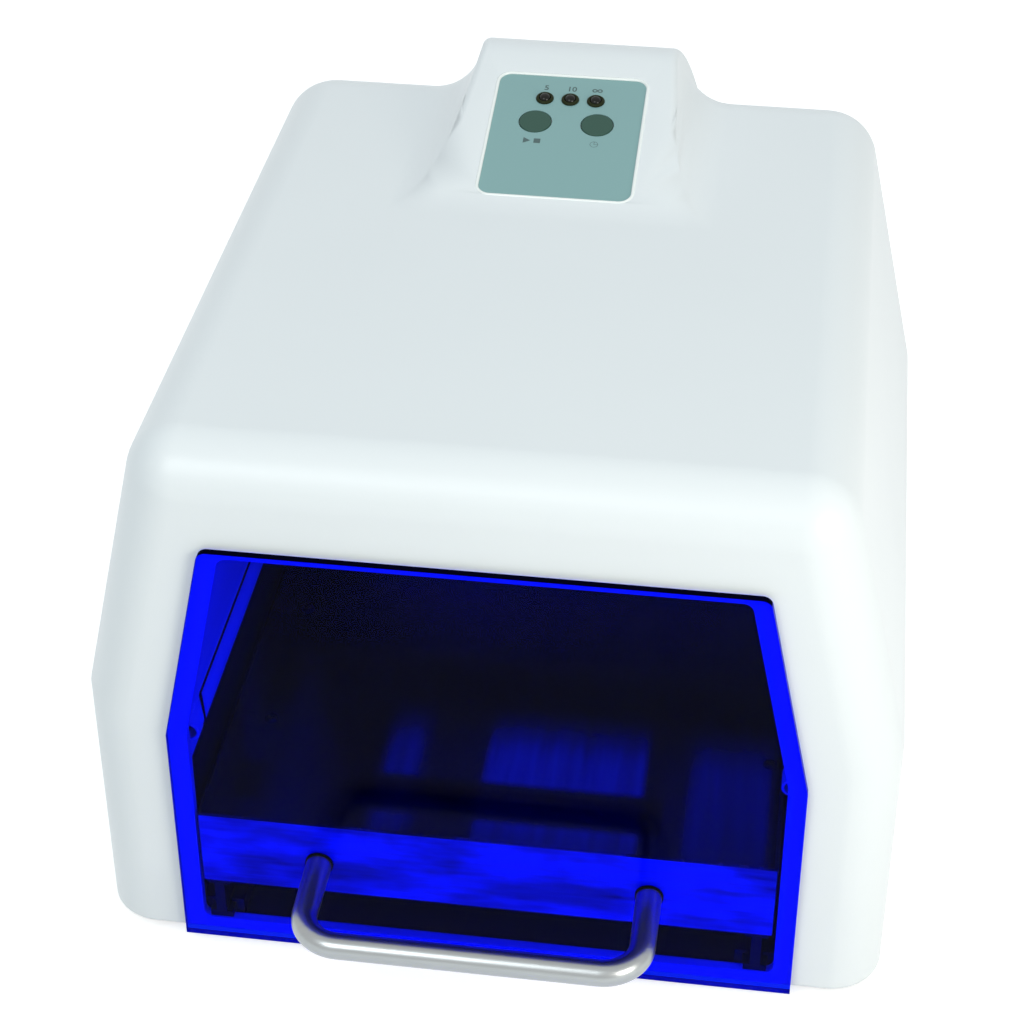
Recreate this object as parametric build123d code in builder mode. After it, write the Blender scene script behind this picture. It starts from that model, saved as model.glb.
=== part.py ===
"""Dental lab light curing unit: a moulded cover over a sheet metal chassis, with a drawer behind a
blue filter plate.  Millimetres, +Z up, the drawer opens towards -Y.  The origin is the middle of the
unit's footprint, handle included, on the surface that its feet stand on."""
from build123d import *
from math import cos, radians, sin, tan
import os

os.makedirs("parts", exist_ok=True)

# ---- Driving dimensions: cover -------------------------------------------------------------------
base_width = 310.0          # cover at its bottom edge
waist_step = 1.0            # each side, where the lower sides meet the leaning upper sides
top_step = 28.5             # each side, at the sharp corners that the shoulders round off
waist_height = 113.5        # above the cover's bottom edge
cover_height = 231.5        # flat top above the cover's bottom edge
cover_depth = 316.0
cover_wall = 4.0
front_round = 21.0          # front edges and shoulders
rear_round = 26.0
bottom_round = 3.0
ground_gap = 5.0            # cover's bottom edge above the floor
post_diameter = 14.0        # screw posts inside its corners
post_height = 30.0
post_bite = 1.0             # posts let into the wall
post_inset = 24.0           # from the front and rear walls

# ---- Console hump on the cover -------------------------------------------------------------------
console_run = 126.0         # from the foot of its slope to the rear face
console_slope = 14.4
console_foot = 66.0         # half width where the flares leave the flat top
flare_round = 22.0
console_draft = 18.0        # lean of its sides
console_foot_round = 60.0
console_edge_round = 4.0
flare_skirt = 8.0           # flares' depth below the flat top

# ---- Control panel -------------------------------------------------------------------------------
panel_width = 62.4
panel_length = 75.3
panel_corner = 5.0
panel_recess = 1.2
panel_thickness = 0.8
panel_from_foot = 44.2      # foot of the slope to the middle of the panel, level
panel_gap = 0.3
key_diameter = 13.4
key_spacing = 26.0
key_row = 8.1               # up the slope from the panel's middle
key_travel = 0.4
key_thickness = 1.5
key_proud = 0.3             # above the panel
key_stem = 6.0
key_gap = 0.5
key_edge = 0.3
key_pocket = 1.0            # below the panel's recess
lamp_row = 22.9
lamp_spacing = 10.8
bezel_diameter = 7.4
bezel_proud = 0.9
lens_diameter = 5.0
lens_proud = 1.6
lens_flat = 0.9
board_depth = 13.0          # control board below the panel's surface
board_sheet = 1.6
board_width = 58.0
board_length = 60.0
board_post = 7.0
board_post_x = 24.0
board_post_y = 25.0
board_corner = 2.0
dome_size = 6.0             # key switches on the board
dome_corner = 0.5
dome_height = 3.0
button_diameter = 3.5
button_height = 1.0
button_gap = 0.1

# ---- Drawer front, opening and handle ------------------------------------------------------------
plate_side = 34.5           # cover's bottom edge to the plate's bottom edge, each side
plate_waist_step = 0.5
plate_top_step = 19.25
plate_below_top = 39.2      # cover's flat top to the plate's top edge
plate_below_waist = 8.7
plate_thickness = 3.0
plate_corner = 4.0
plate_gap = 0.2             # plate's back to the cover's front
flange_width = 7.2          # front wall that the plate covers all round
opening_corner = 4.0
handle_centres = 128.0
handle_rod = 10.0
handle_reach = 42.0         # plate to the middle of the bar
handle_height = 46.0        # above the plate's bottom edge
handle_bend = 15.0
washer_diameter = 11.0
washer_thickness = 1.0
handle_screw = 5.0
handle_screw_depth = 14.0
handle_head = 9.0
handle_head_height = 2.8

# ---- Drawer tray and its slides ------------------------------------------------------------------
tray_side = 8.5             # plate's bottom edge to the tray, each side
tray_gap = 10.0             # tray's back to the bulkhead
tray_height = 35.0
tray_sheet = 1.2
tray_lift = 28.0            # underside above the plate's bottom edge
tray_corner = 1.6
runner_inset = 6.0          # runner's middle inside the tray's side
runner_stem = 4.0
runner_foot = 9.0
runner_foot_height = 3.0
runner_stop = 12.0          # wider foot at the runner's rear end
runner_stop_length = 14.0
rail_sheet = 1.5
rail_inner_width = 13.0
rail_lip_gap = 6.0
rail_gap = 4.7              # rails' back ends to the bulkhead
rail_screw_inset = 30.0
lip_gap = 1.0               # rail's lips above the runner's foot
runner_flange_height = 2.0  # flange under the tray
runner_screw_inset = 20.0
runner_screw_head = 5.6
runner_screw_head_height = 1.5
runner_screw_depth = 8.0
crimp_length = 10.0
liner_thickness = 1.5
sliding_gap = 0.05
side_gap = 0.5

# ---- Chassis, reflector and lamps ----------------------------------------------------------------
chassis_sheet = 2.0
chassis_lift = 3.0          # base plate above the cover's bottom edge
fit_gap = 0.5               # chassis to the cover's walls
foot_diameter = 20.0
foot_taper = 1.5
foot_bore = 10.0            # counterbore for its screw's head
foot_seat = 4.0
foot_side = 21.0            # cover's inner wall to the foot's middle
foot_inset = 45.0
post_screw_depth = 14.0
intake_inset = 40.0         # air slots in the base plate, from the rear wall
intake_length = 40.0
intake_slot = 4.0
intake_pitch = 10.0
intake_rows = 4
intake_columns = 3
intake_column_gap = 20.0
reflector_sheet = 1.0
reflector_gap = 1.5         # reflector outside the opening's outline
reflector_inset = 11.0      # plate's face to the reflector's front edge
bead_diameter = 8.0         # rolled bead along each wing of the reflector
bead_drop = 3.0             # below the fold
wing_flat = 9.0             # below the bead
screen_sheet = 1.0
screen_foot = 9.0
screen_screw_front = 74.0   # from the screen's front edge
screen_screw_rear = 30.0    # from its rear edge
screen_screw_head = 6.8
rear_bay = 114.0            # rear bulkhead to the cover's back
bulkhead_sheet = 1.2
bulkhead_inset = 2.0        # inside the cover's walls
bulkhead_foot = 12.0
bulkhead_foot_side = 31.0   # cover's inner wall to the foot's end
bulkhead_screw_x = 90.0
rivet_head = 5.0
rivet_height = 1.2
rivet_inset = 12.0
rivet_count = 4
sensor_x = 60.0
sensor_gap = 1.2
sensor_width = 24.0
sensor_height = 8.0
sensor_corner = 1.5
magnet_width = 12.0
magnet_thickness = 5.0
tube_diameter = 12.0
tube_centres = 15.0
tube_length = 126.0
bridge_diameter = 6.0       # joins a lamp's two tubes at their front ends
bridge_inset = 13.0
cap_width = 32.0
cap_height = 18.0
cap_length = 22.0
cap_corner = 4.0
spigot_width = 22.0
spigot_height = 9.0
spigot_length = 8.0
holder_width = 38.0
holder_height = 26.0
holder_length = 18.0
holder_corner = 2.0
lamp_count = 4
lamp_margin = 4.8           # reflector's ceiling left free at each side
lamp_drop = 15.0            # tubes' middle below the reflector's ceiling
clip_width = 8.0
clip_sheet = 0.8
clip_place = 20.0           # behind the tubes' front ends
ballast_width = 42.0
ballast_length = 80.0
ballast_height = 38.0
ballast_x = 42.0
ballast_gap = 10.0          # behind the bulkhead's foot
ballast_sheet = 1.5
ballast_lug = 12.0          # of its sheet beyond the core, at each end
terminal_side = 41.0        # cover's inner wall to its middle
terminal_inset = 30.0       # rear wall to its middle
terminal_chamfer = 4.0
terminal_width = 40.0
terminal_depth = 18.0
terminal_height = 16.0

# ---- Screws --------------------------------------------------------------------------------------
machine_screw = 4.0
small_screw = 3.2
board_screw = 2.5
screw_head = 7.6
screw_head_height = 2.2
small_head = 6.4
small_head_height = 1.6
board_head = 4.8
head_chamfer = 0.6
screw_gap = 0.05
screw_tip = 2.0             # screws' ends beyond what they hold

# ---- Rear panel ----------------------------------------------------------------------------------
window_width = 190.0
window_height = 92.0
window_lift = 17.0          # above the cover's bottom edge
window_corner = 5.0
rear_sheet = 1.5
rear_lap = 12.0
rear_corner = 3.0
rear_screw_head = 2.4
rear_screw_z = 36.0
inlet_side = 29.0           # window's edge to the inlet's middle
switch_from_inlet = 38.0
inlet_flange = 2.5
inlet_flange_width = 50.0
inlet_flange_height = 25.0
inlet_body_width = 28.0
inlet_body_height = 20.0
inlet_depth = 22.0
inlet_corner = 4.0
socket_width = 24.0
socket_height = 16.5
socket_depth = 17.0
socket_chamfer = 5.0
inlet_screw_x = 20.0
pin_width = 2.0
pin_height = 4.0
pin_pitch = 7.0
pin_step = 2.0              # earth pin above the window's middle, the others below
pin_recess = 4.3            # pins' tips below the inlet's face
pin_tab = 8.0               # behind the inlet's body
switch_width = 21.0
switch_height = 30.0
switch_rim = 1.0
switch_flange = 1.5
switch_depth = 16.0
switch_back = 2.0
switch_corner = 2.0
rocker_width = 13.4
rocker_height = 21.6
rocker_gap = 0.7
rocker_pin = 3.0
rocker_crown = 2.5          # pivot to the middle of the rocker's face
rocker_rise = 1.5           # ends of its face above the middle
rocker_depth = 4.3          # pivot to its back
rocker_keel = 2.0
rocker_set = 1.5            # pivot inside the rear wall
rocker_throw = 16.0
vent_side = 50.0            # window's other edge to the vents' middle
vent_count = 9
vent_pitch = 8.0
vent_slot = 3.0
vent_height = 52.0

# ---- Places that follow from the driving dimensions ----------------------------------------------
plate_proud = plate_thickness + plate_gap
total_depth = handle_reach + handle_rod / 2 + plate_proud + cover_depth + rear_screw_head
plate_y = handle_reach + handle_rod / 2 - total_depth / 2
plate_back = plate_y + plate_thickness
front_y = plate_y + plate_proud
rear_y = front_y + cover_depth
base_half = base_width / 2
waist_half = base_half - waist_step
top_half = base_half - top_step
base_z = ground_gap
waist_z = base_z + waist_height
top_z = base_z + cover_height
plate_z = base_z
plate_half = base_half - plate_side
plate_waist_half = plate_half - plate_waist_step
plate_top_half = plate_half - plate_top_step
plate_height = cover_height - plate_below_top
plate_waist_height = waist_height - plate_below_waist
console_y = rear_y - console_run
slope = radians(console_slope)
draft = radians(console_draft)
panel_y = console_y + panel_from_foot
panel_plane = Plane(origin=(0, panel_y, top_z + panel_from_foot * tan(slope)),
                    x_dir=(1, 0, 0), z_dir=(0, -sin(slope), cos(slope)))
key_x = (-key_spacing / 2, key_spacing / 2)
lamp_x = (-lamp_spacing, 0.0, lamp_spacing)
opening_top = plate_z + plate_height - flange_width
bulkhead_y = rear_y - rear_bay
tray_z = plate_z + tray_lift
tray_half = plate_half - tray_side
tray_back = bulkhead_y - tray_gap
tray_depth = tray_back - plate_back
handle_z = plate_z + handle_height
chassis_z = base_z + chassis_lift
floor_z = chassis_z + chassis_sheet
inner_front = front_y + cover_wall
inner_rear = rear_y - cover_wall
inner_half = base_half - cover_wall
foot_x = inner_half - foot_side
runner_x = tray_half - runner_inset
rail_front = inner_front + 2 * fit_gap
rail_length = bulkhead_y - rail_gap - rail_front
inlet_place = inlet_side - window_width / 2
switch_place = inlet_place + switch_from_inlet
vent_place = window_width / 2 - vent_side
rocker_y = inner_rear - rocker_set
runner_z = floor_z + rail_sheet + liner_thickness + sliding_gap
rail_lip_z = runner_z + runner_foot_height + lip_gap
reflector_y = plate_y + reflector_inset
fold_x = plate_waist_half - flange_width + reflector_gap
fold_z = plate_z + plate_waist_height
ceiling_z = opening_top + reflector_gap
side_lean = (plate_top_step - plate_waist_step) / (plate_height - plate_waist_height)
ceiling_x = fold_x - (ceiling_z - fold_z) * side_lean
bead_top = fold_z - bead_drop
bead_low = bead_top - bead_diameter
wing_end = bead_low - wing_flat
screen_x = fold_x + reflector_sheet
lamp_z = ceiling_z - lamp_drop
lamp_pitch = 2 * (ceiling_x - lamp_margin) / lamp_count
lamp_front = bulkhead_y - holder_length - cap_length - tube_length


# ---- Cover: outer and inner forms ----------------------------------------------------------------
def moulded_form(inset):
    """The cover's outline, drawn in by one wall for its inside: body, console and rounded edges."""
    near = front_y + inset
    far = rear_y - inset
    ceiling = top_z - inset
    sunk = ceiling - rear_round - cover_wall
    rear_radius = rear_round - inset
    flare = flare_round + inset
    upright = 90 - console_draft
    flare_end = (console_foot - flare * sin(radians(upright)),
                 ceiling + flare - flare * cos(radians(upright)))
    flare_mid = (console_foot - flare * sin(radians(upright / 2)),
                 ceiling + flare - flare * cos(radians(upright / 2)))
    side_at_ceiling = flare_end[0] + (flare_end[1] - ceiling) * tan(draft)
    start = console_y - console_foot_round
    beyond = 2 * console_foot
    # side profile of the console's top: foot arc, slope and rear arc
    foot_y = console_y + inset * (1 / cos(slope) - 1) / tan(slope)
    foot_radius = console_foot_round - inset
    foot_run = foot_radius * tan(slope / 2)
    foot_start = (foot_y - foot_run, ceiling)
    foot_mid = (foot_start[0] + foot_radius * sin(slope / 2),
                ceiling + foot_radius - foot_radius * cos(slope / 2))
    foot_end = (foot_y + foot_run * cos(slope), ceiling + foot_run * sin(slope))
    crest_z = ceiling + (far - foot_y) * tan(slope)
    rear_turn = (radians(90) + slope) / 2
    rear_run = rear_radius * tan(rear_turn)
    rear_start = (far - rear_run * cos(slope), crest_z - rear_run * sin(slope))
    rear_mid = (far - rear_radius + rear_radius * cos(rear_turn),
                crest_z - rear_run + rear_radius * sin(rear_turn))
    rear_end = (far, crest_z - rear_run)
    with BuildPart() as body:
        with BuildSketch(Plane.XZ.offset(-near)):
            with BuildLine():
                Polyline((0, base_z), (base_half - inset, base_z), (waist_half - inset, waist_z),
                         (top_half - inset, ceiling), (0, ceiling), close=True)
            make_face()
            mirror(about=Plane.YZ)
        extrude(amount=near - far)
        fillet(body.edges().filter_by(Axis.Y).group_by(Axis.Z)[-1], front_round - inset)
        front_edges = body.faces().sort_by(Axis.Y)[0].edges()
        fillet(front_edges.filter_by(lambda edge: edge.center().Z > base_z + 1), front_round - inset)
        rear_edges = body.faces().sort_by(Axis.Y)[-1].edges()
        fillet(rear_edges.filter_by(lambda edge: edge.center().Z > base_z + 1), rear_radius)
        if inset == 0:
            fillet(body.faces().sort_by(Axis.Z)[0].edges(), bottom_round)
    with BuildPart() as core:
        with BuildSketch(Plane.YZ.offset(-console_foot)):
            with BuildLine():
                Line((start, ceiling), foot_start)
                ThreePointArc(foot_start, foot_mid, foot_end)
                Line(foot_end, rear_start)
                ThreePointArc(rear_start, rear_mid, rear_end)
                Polyline(rear_end, (far, sunk), (start, sunk), (start, ceiling))
            make_face()
        extrude(amount=2 * console_foot)
        with BuildSketch(Plane.XZ.offset(-start)):
            with BuildLine():
                Polyline((beyond, sunk - 1), (side_at_ceiling + (ceiling - sunk + 1) * tan(draft), sunk - 1),
                         (side_at_ceiling - console_foot * tan(draft), ceiling + console_foot),
                         (beyond, ceiling + console_foot), close=True)
            make_face()
            mirror(about=Plane.YZ)
        extrude(amount=start - far, mode=Mode.SUBTRACT)
        crest = core.edges().filter_by(lambda edge: edge.center().Z > ceiling + 1)
        crest = crest.filter_by(lambda edge: abs(edge.center().X) > console_foot / 3)
        fillet(crest.filter_by(lambda edge: abs((edge @ 0).Y - (edge @ 1).Y) > 1), console_edge_round)
    with BuildPart() as flares:
        with BuildSketch(Plane.XZ.offset(-start)):
            with BuildLine():
                ThreePointArc((console_foot, ceiling), flare_mid, flare_end)
                Polyline(flare_end, (flare_end[0] - flare_skirt, flare_end[1] - flare_skirt),
                         (flare_end[0] - flare_skirt, ceiling - flare_skirt),
                         (console_foot, ceiling - flare_skirt), (console_foot, ceiling))
            make_face()
            mirror(about=Plane.YZ)
        with BuildLine(Plane.YZ) as over_the_rear:
            Line((start, ceiling), (far - rear_radius, ceiling))
            RadiusArc((far - rear_radius, ceiling), (far, ceiling - rear_radius), rear_radius)
        sweep(path=over_the_rear.wires()[0])
        with BuildSketch(Plane.YZ.offset(-beyond)):
            with BuildLine():
                Line((start - beyond, ceiling), foot_start)
                ThreePointArc(foot_start, foot_mid, foot_end)
                Line(foot_end, rear_start)
                ThreePointArc(rear_start, rear_mid, rear_end)
                Polyline(rear_end, (far, sunk - beyond), (far + beyond, sunk - beyond),
                         (far + beyond, ceiling + beyond), (start - beyond, ceiling + beyond),
                         (start - beyond, ceiling))
            make_face()
        extrude(amount=2 * beyond, mode=Mode.SUBTRACT)
    with BuildPart() as form:
        add(body.part)
        add(core.part)
        add(flares.part)
    return form.part


# ---- Places of screws, posts and holes that several pieces share ----------------------------------
post_x = inner_half - post_diameter / 2 + post_bite
post_places = [(x, y) for x in (-post_x, post_x) for y in (inner_front + post_inset, inner_rear - post_inset)]
foot_places = [(x, y) for x in (-foot_x, foot_x) for y in (inner_front + foot_inset, inner_rear - foot_inset)]
rail_screw_places = [(x, rail_front + y) for x in (-runner_x, runner_x)
                     for y in (rail_screw_inset, rail_length - rail_screw_inset)]
window_z = base_z + window_lift + window_height / 2
rear_screw_x = window_width / 2 + rear_lap / 2
rear_screw_places = [(x, window_z + z) for x in (-rear_screw_x, rear_screw_x)
                     for z in (-rear_screw_z, rear_screw_z)]
inlet_screw_places = [(inlet_place + x, window_z) for x in (-inlet_screw_x, inlet_screw_x)]
board_post_places = [(x, y) for x in (-board_post_x, board_post_x) for y in (-board_post_y, board_post_y)]
key_places = [(x, key_row) for x in key_x]
lamp_places = [(x, lamp_row) for x in lamp_x]
bulkhead_screw_places = [(x, bulkhead_y + bulkhead_sheet + bulkhead_foot / 2)
                         for x in (-bulkhead_screw_x, 0, bulkhead_screw_x)]
screen_screw_places = [(side * (screen_x + screen_foot / 2), y) for side in (-1, 1)
                       for y in (reflector_y + screen_screw_front, bulkhead_y - screen_screw_rear)]
under_base = Plane(origin=(0, 0, chassis_z), x_dir=(1, 0, 0), z_dir=(0, 0, -1))


def plate_outline(inset):
    """The drawer front's hexagon, drawn in all round for the opening behind it."""
    with BuildSketch(mode=Mode.PRIVATE) as outline:
        with BuildLine():
            Polyline((0, plate_z), (plate_half, plate_z), (plate_waist_half, plate_z + plate_waist_height),
                     (plate_top_half, plate_z + plate_height), (0, plate_z + plate_height), close=True)
        make_face()
        mirror(about=Plane.YZ)
        if inset:
            offset(amount=-inset, kind=Kind.INTERSECTION)
    return outline.sketch


def screw_set(places, plane, head, head_height, shank, length):
    """Pan-head screws on a plane, heads outward along its normal, with their edges broken."""
    with BuildPart() as screws:
        with BuildSketch(plane):
            with Locations(*places):
                Circle(head / 2)
        extrude(amount=head_height)
        tops = screws.faces().sort_by(lambda face: face.center().dot(plane.z_dir))[-len(places):]
        chamfer(tops.edges(), head_chamfer)
        with BuildSketch(plane):
            with Locations(*places):
                Circle(shank / 2 - screw_gap)
        extrude(amount=-length)
    return screws.part


def export(part, label):
    part.label = label
    export_step(part, f"parts/{label}.step")


# ---- Cover: a moulding with an opening for the drawer, a console, and posts inside -------------------
outer_form = moulded_form(0)
inner_form = moulded_form(cover_wall)
with BuildPart() as cover:
    add(outer_form)
    add(inner_form, mode=Mode.SUBTRACT)
    # opening for the drawer, a flange's width inside the plate
    with BuildSketch(Plane.XZ.offset(-front_y)) as mouth:
        add(plate_outline(flange_width))
        fillet(mouth.vertices().group_by(Axis.Y)[0] + mouth.vertices().group_by(Axis.Y)[-1], opening_corner)
    extrude(amount=-2 * cover_wall, mode=Mode.SUBTRACT)
    # window for the rear panel, with its screw holes
    with BuildSketch(Plane.XZ.offset(-rear_y)):
        with Locations((0, window_z)):
            RectangleRounded(window_width, window_height, window_corner)
        with Locations(*rear_screw_places):
            Circle(machine_screw / 2)
    extrude(amount=2 * cover_wall, mode=Mode.SUBTRACT)
    # screw posts at the corners
    with BuildSketch(Plane.XY.offset(floor_z)):
        with Locations(*post_places):
            Circle(post_diameter / 2)
            Circle(machine_screw / 2, mode=Mode.SUBTRACT)
    extrude(amount=post_height)
    # posts that carry the control board inside the console
    with BuildSketch(panel_plane.offset(-board_depth)):
        with Locations(*board_post_places):
            Circle(board_post / 2)
            Circle(board_screw / 2, mode=Mode.SUBTRACT)
    extrude(amount=board_depth - cover_wall / 2)
    # recess for the panel, pockets for the keys, and holes for their stems and the indicators
    with BuildSketch(panel_plane):
        RectangleRounded(panel_width + 2 * panel_gap, panel_length + 2 * panel_gap, panel_corner + panel_gap)
    extrude(amount=-panel_recess, mode=Mode.SUBTRACT)
    with BuildSketch(panel_plane.offset(-panel_recess)):
        with Locations(*key_places):
            Circle(key_diameter / 2 + key_gap)
    extrude(amount=-key_pocket, mode=Mode.SUBTRACT)
    with BuildSketch(panel_plane):
        with Locations(*key_places):
            Circle(key_stem / 2 + key_gap)
        with Locations(*lamp_places):
            Circle(lens_diameter / 2 + screw_gap)
    extrude(amount=-2 * cover_wall, mode=Mode.SUBTRACT)
export(cover.part, "cover")

# ---- Base plate, feet and their screws -----------------------------------------------------------
with BuildPart() as base_plate:
    with BuildSketch(Plane.XY.offset(chassis_z)):
        with Locations((0, (inner_front + inner_rear) / 2)):
            RectangleRounded(2 * (inner_half - fit_gap), inner_rear - inner_front - 2 * fit_gap,
                             rear_round - cover_wall)
        with Locations(*post_places, *foot_places, *rail_screw_places, *bulkhead_screw_places,
                       *screen_screw_places):
            Circle(machine_screw / 2, mode=Mode.SUBTRACT)
        with Locations((0, inner_rear - intake_inset)):
            with GridLocations(intake_length + intake_column_gap, intake_pitch, intake_columns, intake_rows):
                SlotOverall(intake_length, intake_slot, mode=Mode.SUBTRACT)
    extrude(amount=chassis_sheet)
export(base_plate.part, "base_plate")

with BuildPart() as rubber_feet:
    with Locations(*[(x, y, 0) for x, y in foot_places]):
        Cone(foot_diameter / 2 - foot_taper, foot_diameter / 2, chassis_z,
             align=(Align.CENTER, Align.CENTER, Align.MIN))
        Cylinder(foot_bore / 2, foot_seat, align=(Align.CENTER, Align.CENTER, Align.MIN), mode=Mode.SUBTRACT)
        Cylinder(machine_screw / 2, chassis_z, align=(Align.CENTER, Align.CENTER, Align.MIN),
                 mode=Mode.SUBTRACT)
export(rubber_feet.part, "rubber_feet")

foot_plane = Plane(origin=(0, 0, foot_seat), x_dir=(1, 0, 0), z_dir=(0, 0, -1))
export(screw_set([(x, -y) for x, y in foot_places], foot_plane, screw_head, screw_head_height, machine_screw,
                 floor_z + screw_tip - foot_seat), "foot_screws")
export(screw_set([(x, -y) for x, y in post_places], under_base, screw_head, screw_head_height, machine_screw,
                 chassis_sheet + post_screw_depth), "base_screws")

# ---- Rear panel: sheet inside the window, with vents, mains inlet and switch -----------------------
with BuildPart() as rear_panel:
    with BuildSketch(Plane.XZ.offset(-inner_rear)):
        with Locations((0, window_z)):
            RectangleRounded(window_width + 2 * rear_lap, window_height + 2 * rear_lap, rear_corner)
        with Locations((inlet_place, window_z)):
            Rectangle(inlet_body_width, inlet_body_height, mode=Mode.SUBTRACT)
        with Locations((switch_place, window_z)):
            Rectangle(switch_width - 2 * switch_rim, switch_height - 2 * switch_rim, mode=Mode.SUBTRACT)
        with Locations((vent_place, window_z)):
            with GridLocations(vent_pitch, 0, vent_count, 1):
                SlotOverall(vent_height, vent_slot, rotation=90, mode=Mode.SUBTRACT)
        with Locations(*rear_screw_places):
            Circle(machine_screw / 2, mode=Mode.SUBTRACT)
        with Locations(*inlet_screw_places):
            Circle(small_screw / 2, mode=Mode.SUBTRACT)
    extrude(amount=rear_sheet)
export(rear_panel.part, "rear_panel")

rear_plane = Plane(origin=(0, rear_y, 0), x_dir=(-1, 0, 0), z_dir=(0, 1, 0))
export(screw_set([(-x, z) for x, z in rear_screw_places], rear_plane, screw_head, rear_screw_head,
                 machine_screw, cover_wall + rear_sheet + screw_tip), "rear_panel_screws")

pin_places = [(inlet_place - pin_pitch, window_z - pin_step), (inlet_place, window_z + pin_step),
              (inlet_place + pin_pitch, window_z - pin_step)]
inlet_face = inner_rear + inlet_flange
with BuildPart() as inlet_body:
    with BuildSketch(Plane.XZ.offset(-inner_rear)):
        with Locations((inlet_place, window_z)):
            RectangleRounded(inlet_flange_width, inlet_flange_height, inlet_corner)
    extrude(amount=-inlet_flange)
    with BuildSketch(Plane.XZ.offset(-inner_rear)):
        with Locations((inlet_place, window_z)):
            Rectangle(inlet_body_width, inlet_body_height)
    extrude(amount=inlet_depth)
    with BuildSketch(Plane.XZ.offset(-inlet_face)) as socket:
        with Locations((inlet_place, window_z)):
            Rectangle(socket_width, socket_height)
        chamfer(socket.vertices().group_by(Axis.Y)[-1], socket_chamfer)
    extrude(amount=socket_depth, mode=Mode.SUBTRACT)
    with BuildSketch(Plane.XZ.offset(-inlet_face)):
        with Locations(*inlet_screw_places):
            Circle(small_screw / 2)
    extrude(amount=inlet_flange, mode=Mode.SUBTRACT)
    with BuildSketch(Plane.XZ.offset(-inlet_face)):
        with Locations(*pin_places):
            Rectangle(pin_width, pin_height)
    extrude(amount=2 * inlet_depth, mode=Mode.SUBTRACT)
export(inlet_body.part, "inlet_body")

with BuildPart() as inlet_pins:
    with BuildSketch(Plane.XZ.offset(-inlet_face + pin_recess)):
        with Locations(*pin_places):
            Rectangle(pin_width, pin_height)
    extrude(amount=inlet_flange + inlet_depth + pin_tab - pin_recess)
export(inlet_pins.part, "inlet_pins")

inlet_plane = Plane(origin=(0, inlet_face, 0), x_dir=(-1, 0, 0), z_dir=(0, 1, 0))
export(screw_set([(-x, z) for x, z in inlet_screw_places], inlet_plane, small_head, small_head_height,
                 small_screw, inlet_flange + rear_sheet + screw_tip), "inlet_screws")

with BuildPart() as switch_frame:
    with BuildSketch(Plane.XZ.offset(-inner_rear)):
        with Locations((switch_place, window_z)):
            RectangleRounded(switch_width, switch_height, switch_corner)
    extrude(amount=-switch_flange)
    with BuildSketch(Plane.XZ.offset(-inner_rear)):
        with Locations((switch_place, window_z)):
            Rectangle(switch_width - 2 * switch_rim, switch_height - 2 * switch_rim)
    extrude(amount=switch_depth)
    with BuildSketch(Plane.XZ.offset(-inner_rear - switch_flange)):
        with Locations((switch_place, window_z)):
            Rectangle(rocker_width + 2 * rocker_gap, rocker_height + 2 * rocker_gap)
    extrude(amount=switch_flange + switch_depth - switch_back, mode=Mode.SUBTRACT)
    with BuildSketch(Plane.YZ.offset(switch_place - switch_width / 2)):
        with Locations((rocker_y, window_z)):
            Circle(rocker_pin / 2 + sliding_gap)
    extrude(amount=switch_width, mode=Mode.SUBTRACT)
export(switch_frame.part, "switch_frame")

rocker_side = Plane(origin=(switch_place, rocker_y, window_z), x_dir=(0, 1, 0), z_dir=(1, 0, 0))
with BuildPart() as rocker:
    with BuildSketch(rocker_side.offset(-rocker_width / 2)):
        with BuildLine():
            Polyline((rocker_crown, 0), (rocker_crown + rocker_rise, rocker_height / 2),
                     (-rocker_depth, rocker_height / 2), (-rocker_depth - rocker_keel, 0),
                     (-rocker_depth, -rocker_height / 2), (rocker_crown + rocker_rise, -rocker_height / 2),
                     close=True)
        make_face()
    extrude(amount=rocker_width)
    with BuildSketch(rocker_side.offset(switch_rim - switch_width / 2)):
        Circle(rocker_pin / 2)
    extrude(amount=switch_width - 2 * switch_rim)
rocker_axis = Axis((switch_place, rocker_y, window_z), (1, 0, 0))
export(rocker.part.rotate(rocker_axis, rocker_throw / 2), "switch_rocker")

# ---- Reflector, side screens and rear bulkhead round the curing chamber ----------------------------
with BuildPart() as reflector:
    with BuildSketch(Plane.XZ.offset(-reflector_y)):
        with BuildLine():
            Polyline((0, ceiling_z), (ceiling_x, ceiling_z), (fold_x, fold_z), (fold_x, bead_top))
            ThreePointArc((fold_x, bead_top), (fold_x - bead_diameter / 2, (bead_top + bead_low) / 2),
                          (fold_x, bead_low))
            Line((fold_x, bead_low), (fold_x, wing_end))
            offset(amount=reflector_sheet, side=Side.LEFT, kind=Kind.INTERSECTION)
        make_face()
        mirror(about=Plane.YZ)
    extrude(amount=reflector_y - bulkhead_y)
export(reflector.part, "reflector")

side_name = {-1: "left", 1: "right"}
for side in (-1, 1):
    with BuildPart() as side_screen:
        with BuildSketch(Plane.XZ.offset(-reflector_y)):
            with BuildLine():
                Polyline((side * screen_x, bead_low), (side * screen_x, floor_z),
                         (side * (screen_x + screen_foot), floor_z),
                         (side * (screen_x + screen_foot), floor_z + screen_sheet),
                         (side * (screen_x + screen_sheet), floor_z + screen_sheet),
                         (side * (screen_x + screen_sheet), bead_low), close=True)
            make_face()
        extrude(amount=reflector_y - bulkhead_y)
        with BuildSketch(Plane.XY.offset(floor_z)):
            with Locations(*screen_screw_places):
                Circle(machine_screw / 2)
        extrude(amount=screen_sheet, mode=Mode.SUBTRACT)
    export(side_screen.part, f"side_screen_{side_name[side]}")

export(screw_set(screen_screw_places, Plane.XY.offset(floor_z + screen_sheet), screen_screw_head,
                 screw_head_height, machine_screw, screen_sheet + chassis_sheet + screw_tip),
       "side_screen_screws")

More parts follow.
